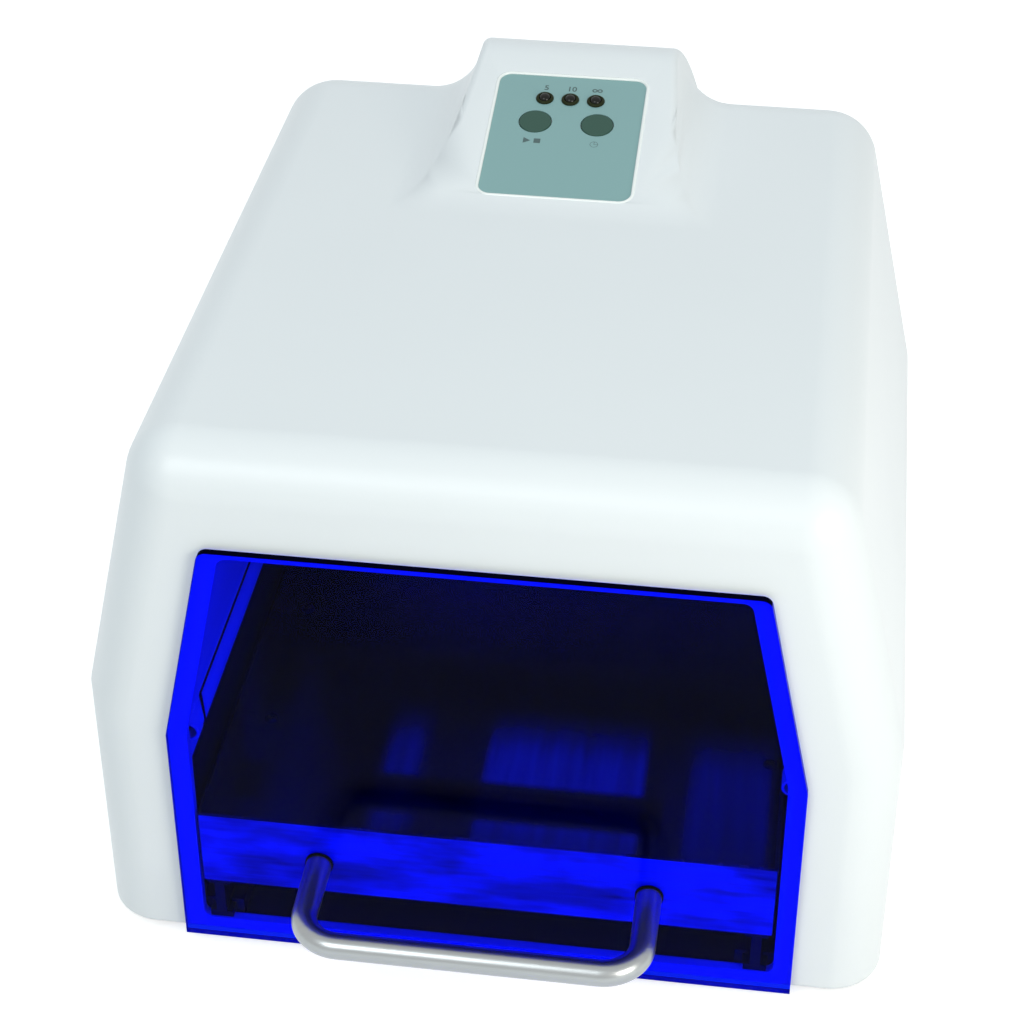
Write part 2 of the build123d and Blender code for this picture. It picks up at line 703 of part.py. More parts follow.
rivet_pitch = (bulkhead_y - reflector_y - 2 * rivet_inset) / (rivet_count - 1)
rivet_y = [reflector_y + rivet_inset + i * rivet_pitch for i in range(rivet_count)]
with BuildPart() as reflector_rivets:
    for side in (-1, 1):
        with BuildSketch(Plane.YZ.offset(side * (screen_x + screen_sheet))):
            with Locations(*[(y, wing_end + wing_flat / 2) for y in rivet_y]):
                Circle(rivet_head / 2)
        extrude(amount=side * rivet_height)
export(reflector_rivets.part, "reflector_rivets")

with BuildPart() as bulkhead:
    with BuildSketch(Plane.XZ.offset(-bulkhead_y)) as wall:
        with BuildLine():
            Polyline((0, floor_z), (inner_half - bulkhead_inset, floor_z),
                     (waist_half - cover_wall - bulkhead_inset, waist_z),
                     (top_half - cover_wall - bulkhead_inset, top_z - cover_wall - bulkhead_inset),
                     (0, top_z - cover_wall - bulkhead_inset), close=True)
        make_face()
        mirror(about=Plane.YZ)
        fillet(wall.vertices().group_by(Axis.Y)[-1], front_round - cover_wall)
    extrude(amount=-bulkhead_sheet)
    with BuildSketch(Plane.XY.offset(floor_z)):
        with Locations((0, bulkhead_y + (bulkhead_sheet + bulkhead_foot) / 2)):
            Rectangle(2 * (inner_half - bulkhead_foot_side), bulkhead_sheet + bulkhead_foot)
    extrude(amount=bulkhead_sheet)
    with BuildSketch(Plane.XY.offset(floor_z)):
        with Locations(*bulkhead_screw_places):
            Circle(machine_screw / 2)
    extrude(amount=bulkhead_sheet, mode=Mode.SUBTRACT)
export(bulkhead.part, "bulkhead")
export(screw_set(bulkhead_screw_places, Plane.XY.offset(floor_z + bulkhead_sheet), screw_head,
                 screw_head_height, machine_screw, bulkhead_sheet + chassis_sheet + screw_tip),
       "bulkhead_screws")

# ---- Lamps: twin tubes, caps, holders and spring clips ---------------------------------------------
lamp_places_x = [(i - (lamp_count - 1) / 2) * lamp_pitch for i in range(lamp_count)]
for number, x in enumerate(lamp_places_x, start=1):
    with BuildPart() as lamp:
        with BuildSketch(Plane.XZ.offset(-lamp_front - tube_diameter / 2)):
            with Locations((x - tube_centres / 2, lamp_z), (x + tube_centres / 2, lamp_z)):
                Circle(tube_diameter / 2)
        extrude(amount=-(tube_length - tube_diameter / 2))
        with Locations(*[(x + dx, lamp_front + tube_diameter / 2, lamp_z)
                         for dx in (-tube_centres / 2, tube_centres / 2)]):
            Sphere(tube_diameter / 2)
        with BuildSketch(Plane.YZ.offset(x - tube_centres / 2)):
            with Locations((lamp_front + bridge_inset, lamp_z)):
                Circle(bridge_diameter / 2)
        extrude(amount=tube_centres)
    export(lamp.part, f"lamp_{number}")

    with BuildPart() as lamp_cap:
        with BuildSketch(Plane.XZ.offset(-lamp_front - tube_length)):
            with Locations((x, lamp_z)):
                RectangleRounded(cap_width, cap_height, cap_corner)
        extrude(amount=-cap_length)
        with BuildSketch(Plane.XZ.offset(-lamp_front - tube_length - cap_length)):
            with Locations((x, lamp_z)):
                Rectangle(spigot_width, spigot_height)
        extrude(amount=-spigot_length)
    export(lamp_cap.part, f"lamp_cap_{number}")

    with BuildPart() as lampholder:
        with BuildSketch(Plane.XZ.offset(-(bulkhead_y - holder_length))):
            with Locations((x, lamp_z)):
                RectangleRounded(holder_width, holder_height, holder_corner)
                Rectangle(spigot_width, spigot_height, mode=Mode.SUBTRACT)
        extrude(amount=-holder_length)
        with BuildSketch(Plane.XZ.offset(-bulkhead_y)):
            with Locations((x, lamp_z)):
                Rectangle(spigot_width, spigot_height)
        extrude(amount=holder_length - spigot_length)
    export(lampholder.part, f"lampholder_{number}")

clip_y = lamp_front + clip_place
with BuildPart() as lamp_clips:
    for x in lamp_places_x:
        with BuildSketch(Plane.XZ.offset(-clip_y)):
            with Locations((x, ceiling_z - clip_sheet / 2)):
                Rectangle(tube_centres, clip_sheet)
            with Locations((x, (ceiling_z + lamp_z - tube_diameter / 2 - clip_sheet) / 2)):
                Rectangle(clip_sheet, ceiling_z - lamp_z + tube_diameter / 2 + clip_sheet)
            with Locations((x, lamp_z - (tube_diameter + clip_sheet) / 2)):
                Rectangle(tube_centres, clip_sheet)
        extrude(amount=-clip_width)
export(lamp_clips.part, "lamp_clips")

# ---- Ballasts and terminal block behind the bulkhead -----------------------------------------------
ballast_y = bulkhead_y + bulkhead_foot + ballast_gap + ballast_length / 2
for side in (-1, 1):
    with BuildPart() as ballast:
        with BuildSketch(Plane.XY.offset(floor_z)):
            with Locations((side * ballast_x, ballast_y)):
                Rectangle(ballast_width, ballast_length)
        extrude(amount=ballast_sheet)
        with BuildSketch(Plane.XY.offset(floor_z + ballast_sheet)):
            with Locations((side * ballast_x, ballast_y)):
                Rectangle(ballast_width, ballast_length - 2 * ballast_lug)
        extrude(amount=ballast_height - ballast_sheet)
        chamfer(ballast.faces().sort_by(Axis.Z)[-1].edges(), ballast_sheet)
    export(ballast.part, f"ballast_{side_name[side]}")

with BuildPart() as terminal_block:
    with BuildSketch(Plane.XY.offset(floor_z)):
        with Locations((terminal_side - inner_half, inner_rear - terminal_inset)):
            Rectangle(terminal_width, terminal_depth)
    extrude(amount=terminal_height)
    chamfer(terminal_block.faces().sort_by(Axis.Z)[-1].edges().filter_by(Axis.X), terminal_chamfer)
export(terminal_block.part, "terminal_block")

# ---- Control board, key switches, indicators, panel and keys ---------------------------------------
with BuildPart() as control_board:
    with BuildSketch(panel_plane.offset(-board_depth)):
        RectangleRounded(board_width, board_length, board_corner)
        with Locations(*board_post_places):
            Circle(board_screw / 2, mode=Mode.SUBTRACT)
    extrude(amount=-board_sheet)
export(control_board.part, "control_board")

board_under = panel_plane.offset(-board_depth - board_sheet)
board_flipped = Plane(origin=board_under.origin, x_dir=(1, 0, 0), z_dir=-board_under.z_dir)
export(screw_set([(x, -y) for x, y in board_post_places], board_flipped, board_head, small_head_height,
                 board_screw, board_sheet + 3 * screw_tip), "board_screws")

with BuildPart() as key_switches:
    with BuildSketch(panel_plane.offset(-board_depth)):
        with Locations(*key_places):
            RectangleRounded(dome_size, dome_size, dome_corner)
    extrude(amount=dome_height)
    with BuildSketch(panel_plane.offset(dome_height - board_depth)):
        with Locations(*key_places):
            Circle(button_diameter / 2)
    extrude(amount=button_height)
export(key_switches.part, "key_switches")

panel_top = panel_thickness - panel_recess
with BuildPart() as panel_overlay:
    with BuildSketch(panel_plane.offset(-panel_recess)):
        RectangleRounded(panel_width, panel_length, panel_corner)
        with Locations(*key_places):
            Circle(key_diameter / 2 + panel_gap, mode=Mode.SUBTRACT)
        with Locations(*lamp_places):
            Circle(bezel_diameter / 2 + screw_gap, mode=Mode.SUBTRACT)
    extrude(amount=panel_thickness)
export(panel_overlay.part, "panel_overlay")

with BuildPart() as indicator_bezels:
    with BuildSketch(panel_plane.offset(-panel_recess)):
        with Locations(*lamp_places):
            Circle(bezel_diameter / 2)
            Circle(lens_diameter / 2 + screw_gap, mode=Mode.SUBTRACT)
    extrude(amount=panel_thickness + bezel_proud)
    chamfer(indicator_bezels.edges().filter_by(GeomType.CIRCLE).group_by(SortBy.RADIUS)[-1]
            .sort_by(lambda edge: edge.center().dot(panel_plane.z_dir))[-3:], bezel_proud / 2)
export(indicator_bezels.part, "indicator_bezels")

for number, x in enumerate(lamp_x, start=1):
    with BuildPart() as indicator_lens:
        with BuildSketch(panel_plane.offset(-board_depth)):
            with Locations((x, lamp_row)):
                Circle(lens_diameter / 2)
        extrude(amount=board_depth + lens_proud)
        fillet(indicator_lens.edges().filter_by(GeomType.CIRCLE)
               .sort_by(lambda edge: edge.center().dot(panel_plane.z_dir))[-1],
               (lens_diameter - lens_flat) / 2)
    export(indicator_lens.part, f"indicator_lens_{number}")

for x, label in zip(key_x, ("start_key", "time_key")):
    with BuildPart() as key:
        with BuildSketch(panel_plane.offset(panel_top + key_proud - key_thickness)):
            with Locations((x, key_row)):
                Circle(key_diameter / 2)
        extrude(amount=key_thickness)
        chamfer(key.edges().sort_by(lambda edge: edge.center().dot(panel_plane.z_dir))[-1], key_edge)
        with BuildSketch(panel_plane.offset(panel_top + key_proud - key_thickness)):
            with Locations((x, key_row)):
                Circle(key_stem / 2)
        extrude(amount=dome_height + button_height + key_travel + button_gap - board_depth
                - panel_top - key_proud + key_thickness)
    export(key.part, label)

# ---- Slides: rails on the base plate with low-friction liners ---------------------------------------
for side in (-1, 1):
    with BuildPart() as rail:
        with BuildSketch(Plane.XZ.offset(-rail_front)):
            with Locations((side * runner_x, (floor_z + rail_lip_z + rail_sheet) / 2)):
                Rectangle(rail_inner_width + 2 * rail_sheet, rail_lip_z + rail_sheet - floor_z)
            with Locations((side * runner_x, (floor_z + rail_sheet + rail_lip_z) / 2)):
                Rectangle(rail_inner_width, rail_lip_z - floor_z - rail_sheet, mode=Mode.SUBTRACT)
            with Locations((side * runner_x, rail_lip_z + rail_sheet / 2)):
                Rectangle(rail_lip_gap, rail_sheet, mode=Mode.SUBTRACT)
        extrude(amount=-rail_length)
        # folded-in front end that stops the runner
        with BuildSketch(Plane.XZ.offset(-rail_front)):
            for edge in (-1, 1):
                with Locations((side * runner_x + edge * (rail_inner_width - rail_sheet) / 2,
                                (floor_z + rail_sheet + rail_lip_z) / 2)):
                    Rectangle(rail_sheet, rail_lip_z - floor_z - rail_sheet)
        extrude(amount=-crimp_length)
        with BuildSketch(Plane.XY.offset(floor_z)):
            with Locations(*rail_screw_places):
                Circle(machine_screw / 2)
        extrude(amount=rail_sheet, mode=Mode.SUBTRACT)
    export(rail.part, f"rail_{side_name[side]}")

    with BuildPart() as liner:
        with BuildSketch(Plane.XY.offset(floor_z + rail_sheet)):
            with Locations((side * runner_x, rail_front + rail_length / 2)):
                Rectangle(runner_foot + side_gap, rail_length - side_gap)
        extrude(amount=liner_thickness)
    export(liner.part, f"liner_{side_name[side]}")

export(screw_set([(x, -y) for x, y in rail_screw_places], under_base, screw_head, screw_head_height,
                 machine_screw, chassis_sheet + rail_sheet), "rail_screws")

# ---- Drawer: front plate, tray, runners and handle --------------------------------------------------
handle_places = [(x, handle_z) for x in (-handle_centres / 2, handle_centres / 2)]
with BuildPart() as drawer_front:
    with BuildSketch(Plane.XZ.offset(-plate_y)) as face:
        add(plate_outline(0))
        fillet(face.vertices().group_by(Axis.Y)[-1], plate_corner)
        with Locations(*handle_places):
            Circle(handle_screw / 2, mode=Mode.SUBTRACT)
    extrude(amount=-plate_thickness)
export(drawer_front.part, "drawer_front")

runner_y = plate_back + fit_gap
runner_length = tray_back - runner_y
runner_screw_places = [(side * runner_x, runner_y + y) for side in (-1, 1)
                       for y in (runner_screw_inset, runner_length / 2, runner_length - runner_screw_inset)]
with BuildPart() as drawer_tray:
    with BuildSketch(Plane.XY.offset(tray_z)):
        with Locations((0, plate_back + tray_depth / 2)):
            RectangleRounded(2 * tray_half, tray_depth, tray_corner)
    extrude(amount=tray_height)
    with BuildSketch(Plane.XY.offset(tray_z + tray_sheet)):
        with Locations((0, plate_back + tray_depth / 2)):
            RectangleRounded(2 * (tray_half - tray_sheet), tray_depth - 2 * tray_sheet,
                             tray_corner - tray_sheet)
    extrude(amount=tray_height, mode=Mode.SUBTRACT)
    with BuildSketch(Plane.XZ.offset(-plate_back)):
        with Locations(*handle_places):
            Circle(handle_screw / 2)
    extrude(amount=-tray_sheet, mode=Mode.SUBTRACT)
    with BuildSketch(Plane.XY.offset(tray_z)):
        with Locations(*runner_screw_places):
            Circle(small_screw / 2)
    extrude(amount=tray_sheet, mode=Mode.SUBTRACT)
export(drawer_tray.part, "drawer_tray")

for side in (-1, 1):
    with BuildPart() as runner:
        with BuildSketch(Plane.XZ.offset(-runner_y)):
            with Locations((side * runner_x, runner_z + runner_foot_height / 2)):
                Rectangle(runner_foot, runner_foot_height)
            with Locations((side * runner_x, (runner_z + tray_z) / 2)):
                Rectangle(runner_stem, tray_z - runner_z)
        extrude(amount=-runner_length)
        with BuildSketch(Plane.XY.offset(runner_z)):
            with Locations((side * runner_x, tray_back - runner_stop_length / 2)):
                Rectangle(runner_stop, runner_stop_length)
        extrude(amount=runner_foot_height)
        with BuildSketch(Plane.XZ.offset(-runner_y)):
            with Locations((side * runner_x, tray_z - runner_flange_height / 2)):
                Rectangle(runner_foot, runner_flange_height)
        extrude(amount=-runner_length)
        with BuildSketch(Plane.XY.offset(tray_z)):
            with Locations(*runner_screw_places):
                Circle(small_screw / 2)
        extrude(amount=-runner_screw_depth, mode=Mode.SUBTRACT)
    export(runner.part, f"runner_{side_name[side]}")

export(screw_set(runner_screw_places, Plane.XY.offset(tray_z + tray_sheet), runner_screw_head,
                 runner_screw_head_height, small_screw, tray_sheet + runner_screw_depth), "runner_screws")

bow_x = handle_centres / 2
bow_y = plate_y - handle_reach
with BuildPart() as handle:
    with BuildLine(Plane.XY.offset(handle_z)) as bow:
        Line((-bow_x, plate_y - washer_thickness), (-bow_x, bow_y + handle_bend))
        RadiusArc((-bow_x, bow_y + handle_bend), (-bow_x + handle_bend, bow_y), -handle_bend)
        Line((-bow_x + handle_bend, bow_y), (bow_x - handle_bend, bow_y))
        RadiusArc((bow_x - handle_bend, bow_y), (bow_x, bow_y + handle_bend), -handle_bend)
        Line((bow_x, bow_y + handle_bend), (bow_x, plate_y - washer_thickness))
    with BuildSketch(Plane.XZ.offset(-(plate_y - washer_thickness))):
        with Locations((-bow_x, handle_z)):
            Circle(handle_rod / 2)
    sweep(path=bow.wires()[0])
    with BuildSketch(Plane.XZ.offset(-(plate_y - washer_thickness))):
        with Locations(*handle_places):
            Circle(handle_screw / 2)
    extrude(amount=handle_screw_depth, mode=Mode.SUBTRACT)
export(handle.part, "handle")

with BuildPart() as handle_washers:
    with BuildSketch(Plane.XZ.offset(-plate_y)):
        with Locations(*handle_places):
            Circle(washer_diameter / 2)
            Circle(handle_screw / 2, mode=Mode.SUBTRACT)
    extrude(amount=washer_thickness)
export(handle_washers.part, "handle_washers")

screw_seat = plate_back + tray_sheet
screw_plane = Plane(origin=(0, screw_seat, 0), x_dir=(-1, 0, 0), z_dir=(0, 1, 0))
screw_length = tray_sheet + plate_thickness + washer_thickness + handle_screw_depth - screw_tip
export(screw_set([(-x, z) for x, z in handle_places], screw_plane, handle_head, handle_head_height,
                 handle_screw, screw_length),
       "handle_screws")

# ---- Door sensing: magnet on the tray, reed sensor on the bulkhead ----------------------------------
with BuildPart() as magnet:
    with BuildSketch(Plane.XZ.offset(-tray_back)):
        with Locations((sensor_x, tray_z + tray_height / 2)):
            Rectangle(magnet_width, sensor_height)
    extrude(amount=-magnet_thickness)
export(magnet.part, "magnet")

with BuildPart() as reed_sensor:
    with BuildSketch(Plane.XZ.offset(-(tray_back + magnet_thickness + sensor_gap))):
        with Locations((sensor_x, tray_z + tray_height / 2)):
            RectangleRounded(sensor_width, sensor_height, sensor_corner)
    extrude(amount=-(bulkhead_y - tray_back - magnet_thickness - sensor_gap))
export(reed_sensor.part, "reed_sensor")
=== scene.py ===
import math
import bpy
import bmesh
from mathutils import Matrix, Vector


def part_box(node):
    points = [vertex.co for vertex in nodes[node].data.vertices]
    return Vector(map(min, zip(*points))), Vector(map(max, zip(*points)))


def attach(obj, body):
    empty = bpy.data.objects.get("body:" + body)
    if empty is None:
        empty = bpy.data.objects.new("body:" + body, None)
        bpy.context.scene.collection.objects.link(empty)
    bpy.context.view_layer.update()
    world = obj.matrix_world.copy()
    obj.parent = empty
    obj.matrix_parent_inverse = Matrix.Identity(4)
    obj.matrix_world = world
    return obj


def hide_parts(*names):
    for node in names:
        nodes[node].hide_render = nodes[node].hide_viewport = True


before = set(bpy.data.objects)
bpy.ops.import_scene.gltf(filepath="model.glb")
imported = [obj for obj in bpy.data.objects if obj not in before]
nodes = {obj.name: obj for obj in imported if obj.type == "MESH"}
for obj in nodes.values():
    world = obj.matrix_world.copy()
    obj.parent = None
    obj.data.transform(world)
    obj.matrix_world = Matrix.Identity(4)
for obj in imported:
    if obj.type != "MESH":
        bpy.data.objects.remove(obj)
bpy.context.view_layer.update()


# ---- Camera ------------------------------------------------------------------------------------------
# Stands where the photograph was taken from: a little to the right of the front, looking down and turned
# a little to the left. Its place comes from fitting the corners of the cover and of the plate.
def add_object(name, data):
    """A new object in the scene."""
    thing = bpy.data.objects.new(name, data)
    bpy.context.scene.collection.objects.link(thing)
    return thing


camera_from_plate = (0.1011, -0.6472, 0.6966)
camera_pitch_down = 36.02
camera_yaw = 7.905
focal_in_frame_widths = 2375 / 1024

lens = bpy.data.cameras.new("studio_camera")
lens.sensor_width = 36
lens.lens = lens.sensor_width * focal_in_frame_widths
camera = add_object("studio_camera", lens)
plate_face, plate_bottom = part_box("drawer_front")[0][1:]
camera.location = Vector(camera_from_plate) + Vector((0, plate_face, plate_bottom))
camera.rotation_euler = (math.radians(90 - camera_pitch_down), 0, math.radians(camera_yaw))
bpy.context.scene.camera = camera
bpy.context.scene.view_settings.view_transform = "Standard"


# ---- Chassis -----------------------------------------------------------------------------------------
# Base plate, rear panel, bulkhead, side screens and slide rails: folded steel sheet under a fine powder coat,
# black inside, where the black is also painted shade for the dark of the chamber, and grey on the rear panel,
# which closes the window in the cover's back. All is screwed together, and the base plate carries the rest.
def new_material(name, **settings):
    """A material with its Principled BSDF, and sockets set by name."""
    material = bpy.data.materials.new(name)
    material.use_nodes = True
    shader = material.node_tree.nodes["Principled BSDF"]
    for socket, value in settings.items():
        shader.inputs[socket.replace("_", " ")].default_value = value
    return material, material.node_tree, shader


def new_effect(name, inputs, outputs):
    """An empty shader node group with its sockets, for an effect that several materials share."""
    group = bpy.data.node_groups.new(name, "ShaderNodeTree")
    for label, kind, value in inputs:
        socket = group.interface.new_socket(label, in_out="INPUT", socket_type=kind)
        socket.default_value = value
    for label, kind in outputs:
        group.interface.new_socket(label, in_out="OUTPUT", socket_type=kind)
    return group, group.nodes.new("NodeGroupInput"), group.nodes.new("NodeGroupOutput")


def add_node(tree, kind, **settings):
    """A new node with its properties set by name."""
    node = tree.nodes.new(kind)
    for name, value in settings.items():
        setattr(node, name, value)
    return node


def feed(tree, value, socket):
    """Joins an output to a socket, or sets the socket where the value is a plain one."""
    if isinstance(value, bpy.types.NodeSocket):
        tree.links.new(value, socket)
    else:
        socket.default_value = value


def place_effect(tree, shader, effect, **values):
    """Puts a shared effect in a material and joins its outputs to the shader's sockets of the same names."""
    node = add_node(tree, "ShaderNodeGroup", node_tree=effect)
    for name, value in values.items():
        node.inputs[name.replace("_", " ")].default_value = value
    for output in node.outputs:
        if output.name in shader.inputs:
            tree.links.new(output, shader.inputs[output.name])
    return node


def new_finish(name, effect, values, **settings):
    """A material of one shared effect at the given values, with other shader sockets set by name."""
    material, tree, shader = new_material(name, **settings)
    place_effect(tree, shader, effect, **values)
    return material


def mix_colours(tree, factor, first, second, how="MIX"):
    """The colour between two others. The Mix node's colour sockets are 6 and 7 in, and 2 out."""
    node = add_node(tree, "ShaderNodeMix", data_type="RGBA", blend_type=how)
    for socket, value in ((0, factor), (6, first), (7, second)):
        feed(tree, value, node.inputs[socket])
    return node.outputs[2]


def range_of(tree, value, low, high, from_low=0.0, from_high=1.0):
    """A value moved from one range to another."""
    node = add_node(tree, "ShaderNodeMapRange")
    for socket, given_value in (("Value", value), ("From Min", from_low), ("From Max", from_high),
                                ("To Min", low), ("To Max", high)):
        feed(tree, given_value, node.inputs[socket])
    return node.outputs["Result"]


def noise_of(tree, scale=1, detail=2, stretch=None):
    """Noise on Object coordinates, stretched along each axis where that is given."""
    place = add_node(tree, "ShaderNodeTexCoord").outputs["Object"]
    noise = add_node(tree, "ShaderNodeTexNoise")
    if stretch is not None:
        longer = add_node(tree, "ShaderNodeVectorMath", operation="MULTIPLY")
        tree.links.new(place, longer.inputs[0])
        tree.links.new(stretch, longer.inputs[1])
        place = longer.outputs["Vector"]
    tree.links.new(place, noise.inputs["Vector"])
    feed(tree, scale, noise.inputs["Scale"])
    feed(tree, detail, noise.inputs["Detail"])
    return noise.outputs["Fac"]


def give_surface(group, given, result, colour, gloss, relief, normal=None):
    """The outputs that shaders take: a colour, a roughness between the given two, and a normal."""
    bump = add_node(group, "ShaderNodeBump")
    group.links.new(relief, bump.inputs["Height"])
    group.links.new(given.outputs["Height"], bump.inputs["Distance"])
    if normal is not None:
        group.links.new(normal, bump.inputs["Normal"])
    roughness = range_of(group, gloss, given.outputs["Roughness Low"], given.outputs["Roughness High"])
    group.links.new(colour, result.inputs["Base Color"])
    group.links.new(roughness, result.inputs["Roughness"])
    group.links.new(bump.outputs["Normal"], result.inputs["Normal"])


surface_outputs = [("Base Color", "NodeSocketColor"), ("Roughness", "NodeSocketFloat"),
                   ("Normal", "NodeSocketVector")]


def powder_coat():
    """Fine orange peel with slightly darker and duller patches."""
    group, given, result = new_effect(
        "powder_coat",
        [("Colour", "NodeSocketColor", (0.6, 0.6, 0.6, 1)), ("Grain Size", "NodeSocketFloat", 900.0),
         ("Roughness Low", "NodeSocketFloat", 0.4), ("Roughness High", "NodeSocketFloat", 0.6),
         ("Height", "NodeSocketFloat", 0.00004)],
        surface_outputs)
    colour = given.outputs["Colour"]
    grain = noise_of(group, given.outputs["Grain Size"])
    patches = noise_of(group, 14)
    darker = mix_colours(group, 1.0, colour, (0.9, 0.9, 0.9, 1), "MULTIPLY")
    give_surface(group, given, result, mix_colours(group, patches, colour, darker), grain, grain)
    return group


def dress(material, *names):
    """Gives CAD nodes their finish."""
    for name in names:
        for slot in nodes[name].material_slots:
            slot.material = material


coat = powder_coat()
# Near-black coat, also painted shade for the dark inside the chamber.
chassis_black_and_shade = new_finish("chassis_black_and_shade", coat, dict(Colour=(0.006, 0.006, 0.007, 1)))
dress(chassis_black_and_shade, "base_plate", "bulkhead", "side_screen_left", "side_screen_right", "rail_left",
      "rail_right")
panel_grey = new_finish("panel_grey", coat, dict(Colour=(0.42, 0.45, 0.45, 1)))
dress(panel_grey, "rear_panel")


# ---- Rubber feet -------------------------------------------------------------------------------------
# Four turned-down feet of matt black rubber, with dust in the pores. Each is held to the base plate by a
# screw from below.
feet_black = new_finish("feet_black", coat, dict(
    Colour=(0.02, 0.02, 0.021, 1), Grain_Size=2500.0, Roughness_Low=0.75, Roughness_High=0.95))
dress(feet_black, "rubber_feet")


# ---- Cover -------------------------------------------------------------------------------------------
# One thick moulding in off-white plastic with a satin surface, a faint flow mottle and a very fine grain, set
# over the chassis and screwed to it. Its creases are moulded soft. The top edge of its mouth is cut higher
# than in the solid, so that only a thin line of the blue plate's rim shows above it.
def satin_moulding():
    """Moulded plastic: faint mottle in colour and gloss, fine grain, and edges rounded in the shading."""
    group, given, result = new_effect(
        "satin_moulding",
        [("Colour", "NodeSocketColor", (0.8, 0.8, 0.8, 1)),
         ("Shade", "NodeSocketColor", (0.76, 0.77, 0.76, 1)),
         ("Grain Size", "NodeSocketFloat", 700.0), ("Roughness Low", "NodeSocketFloat", 0.3),
         ("Roughness High", "NodeSocketFloat", 0.4), ("Height", "NodeSocketFloat", 0.00002),
         ("Edge Radius", "NodeSocketFloat", 0.002)],
        surface_outputs)
    flow = noise_of(group, 9, 3)
    grain = noise_of(group, given.outputs["Grain Size"], 3)
    soft = add_node(group, "ShaderNodeBevel", samples=6)
    group.links.new(given.outputs["Edge Radius"], soft.inputs["Radius"])
    colour = mix_colours(group, flow, given.outputs["Colour"], given.outputs["Shade"])
    give_surface(group, given, result, colour, flow, grain, soft.outputs["Normal"])
    return group


def merged(node):
    """A CAD node's mesh for editing, with the corners of its loose triangles joined."""
    build = bmesh.new()
    build.from_mesh(nodes[node].data)
    bmesh.ops.remove_doubles(build, verts=build.verts, dist=0.00001)
    return build


def smooth_copy(node, name, angle=30.0):
    """A CAD node's shape with its facets joined, so that its rounds shade smoothly."""
    mesh = nodes[node].data.copy()
    mesh.name = name
    build = merged(node)
    build.to_mesh(mesh)
    build.free()
    mesh.shade_smooth()
    mesh.set_sharp_from_angle(angle=math.radians(angle))
    piece = add_object(name, mesh)
    keep_flats = piece.modifiers.new("keep_flats", "WEIGHTED_NORMAL")
    keep_flats.keep_sharp = True
    make_plain(piece)
    return piece


def make_plain(piece):
    """Turns an object with modifiers into a plain mesh."""
    settled = piece.evaluated_get(bpy.context.evaluated_depsgraph_get())
    mesh = bpy.data.meshes.new_from_object(settled)
    piece.modifiers.clear()
    piece.data = mesh


def finish_piece(piece, material, body, *replaced):
    """One material, the body that carries the piece, and the CAD nodes that it stands for."""
    piece.data.materials.clear()
    piece.data.materials.append(material)
    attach(piece, body)
    if replaced:
        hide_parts(*replaced)


moulding = satin_moulding()
cover_white = new_finish("cover_white", moulding, dict(
    Colour=(0.795, 0.825, 0.84, 1), Shade=(0.765, 0.795, 0.81, 1), Edge_Radius=0.001))
cover = smooth_copy("cover", "cover_moulding")
mouth_raise = 0.003
mouth_lean = 0.214
mouth_corner = 0.0035
mouth_depth = 0.005
mouth_half_width = 0.1
rim_of_solid = 0.0072
slack = 0.0002
plate_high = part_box("drawer_front")[1]
mouth_top = plate_high.z - rim_of_solid
for vertex in cover.data.vertices:
    at_mouth = vertex.co.y < plate_high.y + mouth_depth and abs(vertex.co.x) < mouth_half_width
    if at_mouth and mouth_top - mouth_corner < vertex.co.z < mouth_top + slack:
        vertex.co.z += mouth_raise
        vertex.co.x -= math.copysign(mouth_raise * mouth_lean, vertex.co.x)
finish_piece(cover, cover_white, "unit", "cover")


# ---- Screws ------------------------------------------------------------------------------------------
# Zinc-plated and black steel screws with a pan head and a cross recess, driven through the sheet and the
# moulding. One node tree sets a turned head, its recess and its shank at each place, facing the way it is
# driven from.
def reckon(tree, first, sum_kind, second):
    """The outcome of a sum, such as MULTIPLY, on two values or outputs."""
    node = add_node(tree, "ShaderNodeMath", operation=sum_kind)
    feed(tree, first, node.inputs[0])
    feed(tree, second, node.inputs[1])
    return node.outputs[0]


def rolled_metal():
    """Fine lines along one axis in colour, gloss and height, with broad cloudy patches."""
    group, given, result = new_effect(
        "rolled_metal",
        [("Colour", "NodeSocketColor", (0.7, 0.7, 0.7, 1)), ("Dark", "NodeSocketColor", (0.5, 0.5, 0.5, 1)),
         ("Line Scale", "NodeSocketVector", (10.0, 900.0, 900.0)), ("Roughness Low", "NodeSocketFloat", 0.2),
         ("Roughness High", "NodeSocketFloat", 0.4), ("Height", "NodeSocketFloat", 0.00001)],
        surface_outputs)
    lines = noise_of(group, 1, 4, given.outputs["Line Scale"])
    clouds = noise_of(group, 25, 4)
    both = add_node(group, "ShaderNodeMath", operation="MULTIPLY_ADD", use_clamp=True)
    for socket, value in enumerate((lines, 0.5, reckon(group, clouds, "MULTIPLY", 0.5))):
        feed(group, value, both.inputs[socket])
    colour = mix_colours(group, both.outputs[0], given.outputs["Colour"], given.outputs["Dark"])
    give_surface(group, given, result, colour, both.outputs[0], lines)
    return group


def new_tree(name, inputs):
    """An empty geometry node group with its sockets."""
    tree = bpy.data.node_groups.new(name, "GeometryNodeTree")
    tree.interface.new_socket("Geometry", in_out="INPUT", socket_type="NodeSocketGeometry")
    for label, kind in inputs:
        tree.interface.new_socket(label, in_out="INPUT", socket_type=kind)
    tree.interface.new_socket("Geometry", in_out="OUTPUT", socket_type="NodeSocketGeometry")
    return tree, tree.nodes.new("NodeGroupInput"), tree.nodes.new("NodeGroupOutput")


def end_tree(tree, shape, given, result):
    """Makes instances real and gives the outcome its finish, as the export needs."""
    real = tree.nodes.new("GeometryNodeRealizeInstances")
    finish = tree.nodes.new("GeometryNodeSetMaterial")
    tree.links.new(shape, real.inputs["Geometry"])
    tree.links.new(real.outputs["Geometry"], finish.inputs["Geometry"])
    tree.links.new(given.outputs["Finish"], finish.inputs["Material"])
    tree.links.new(finish.outputs["Geometry"], result.inputs["Geometry"])


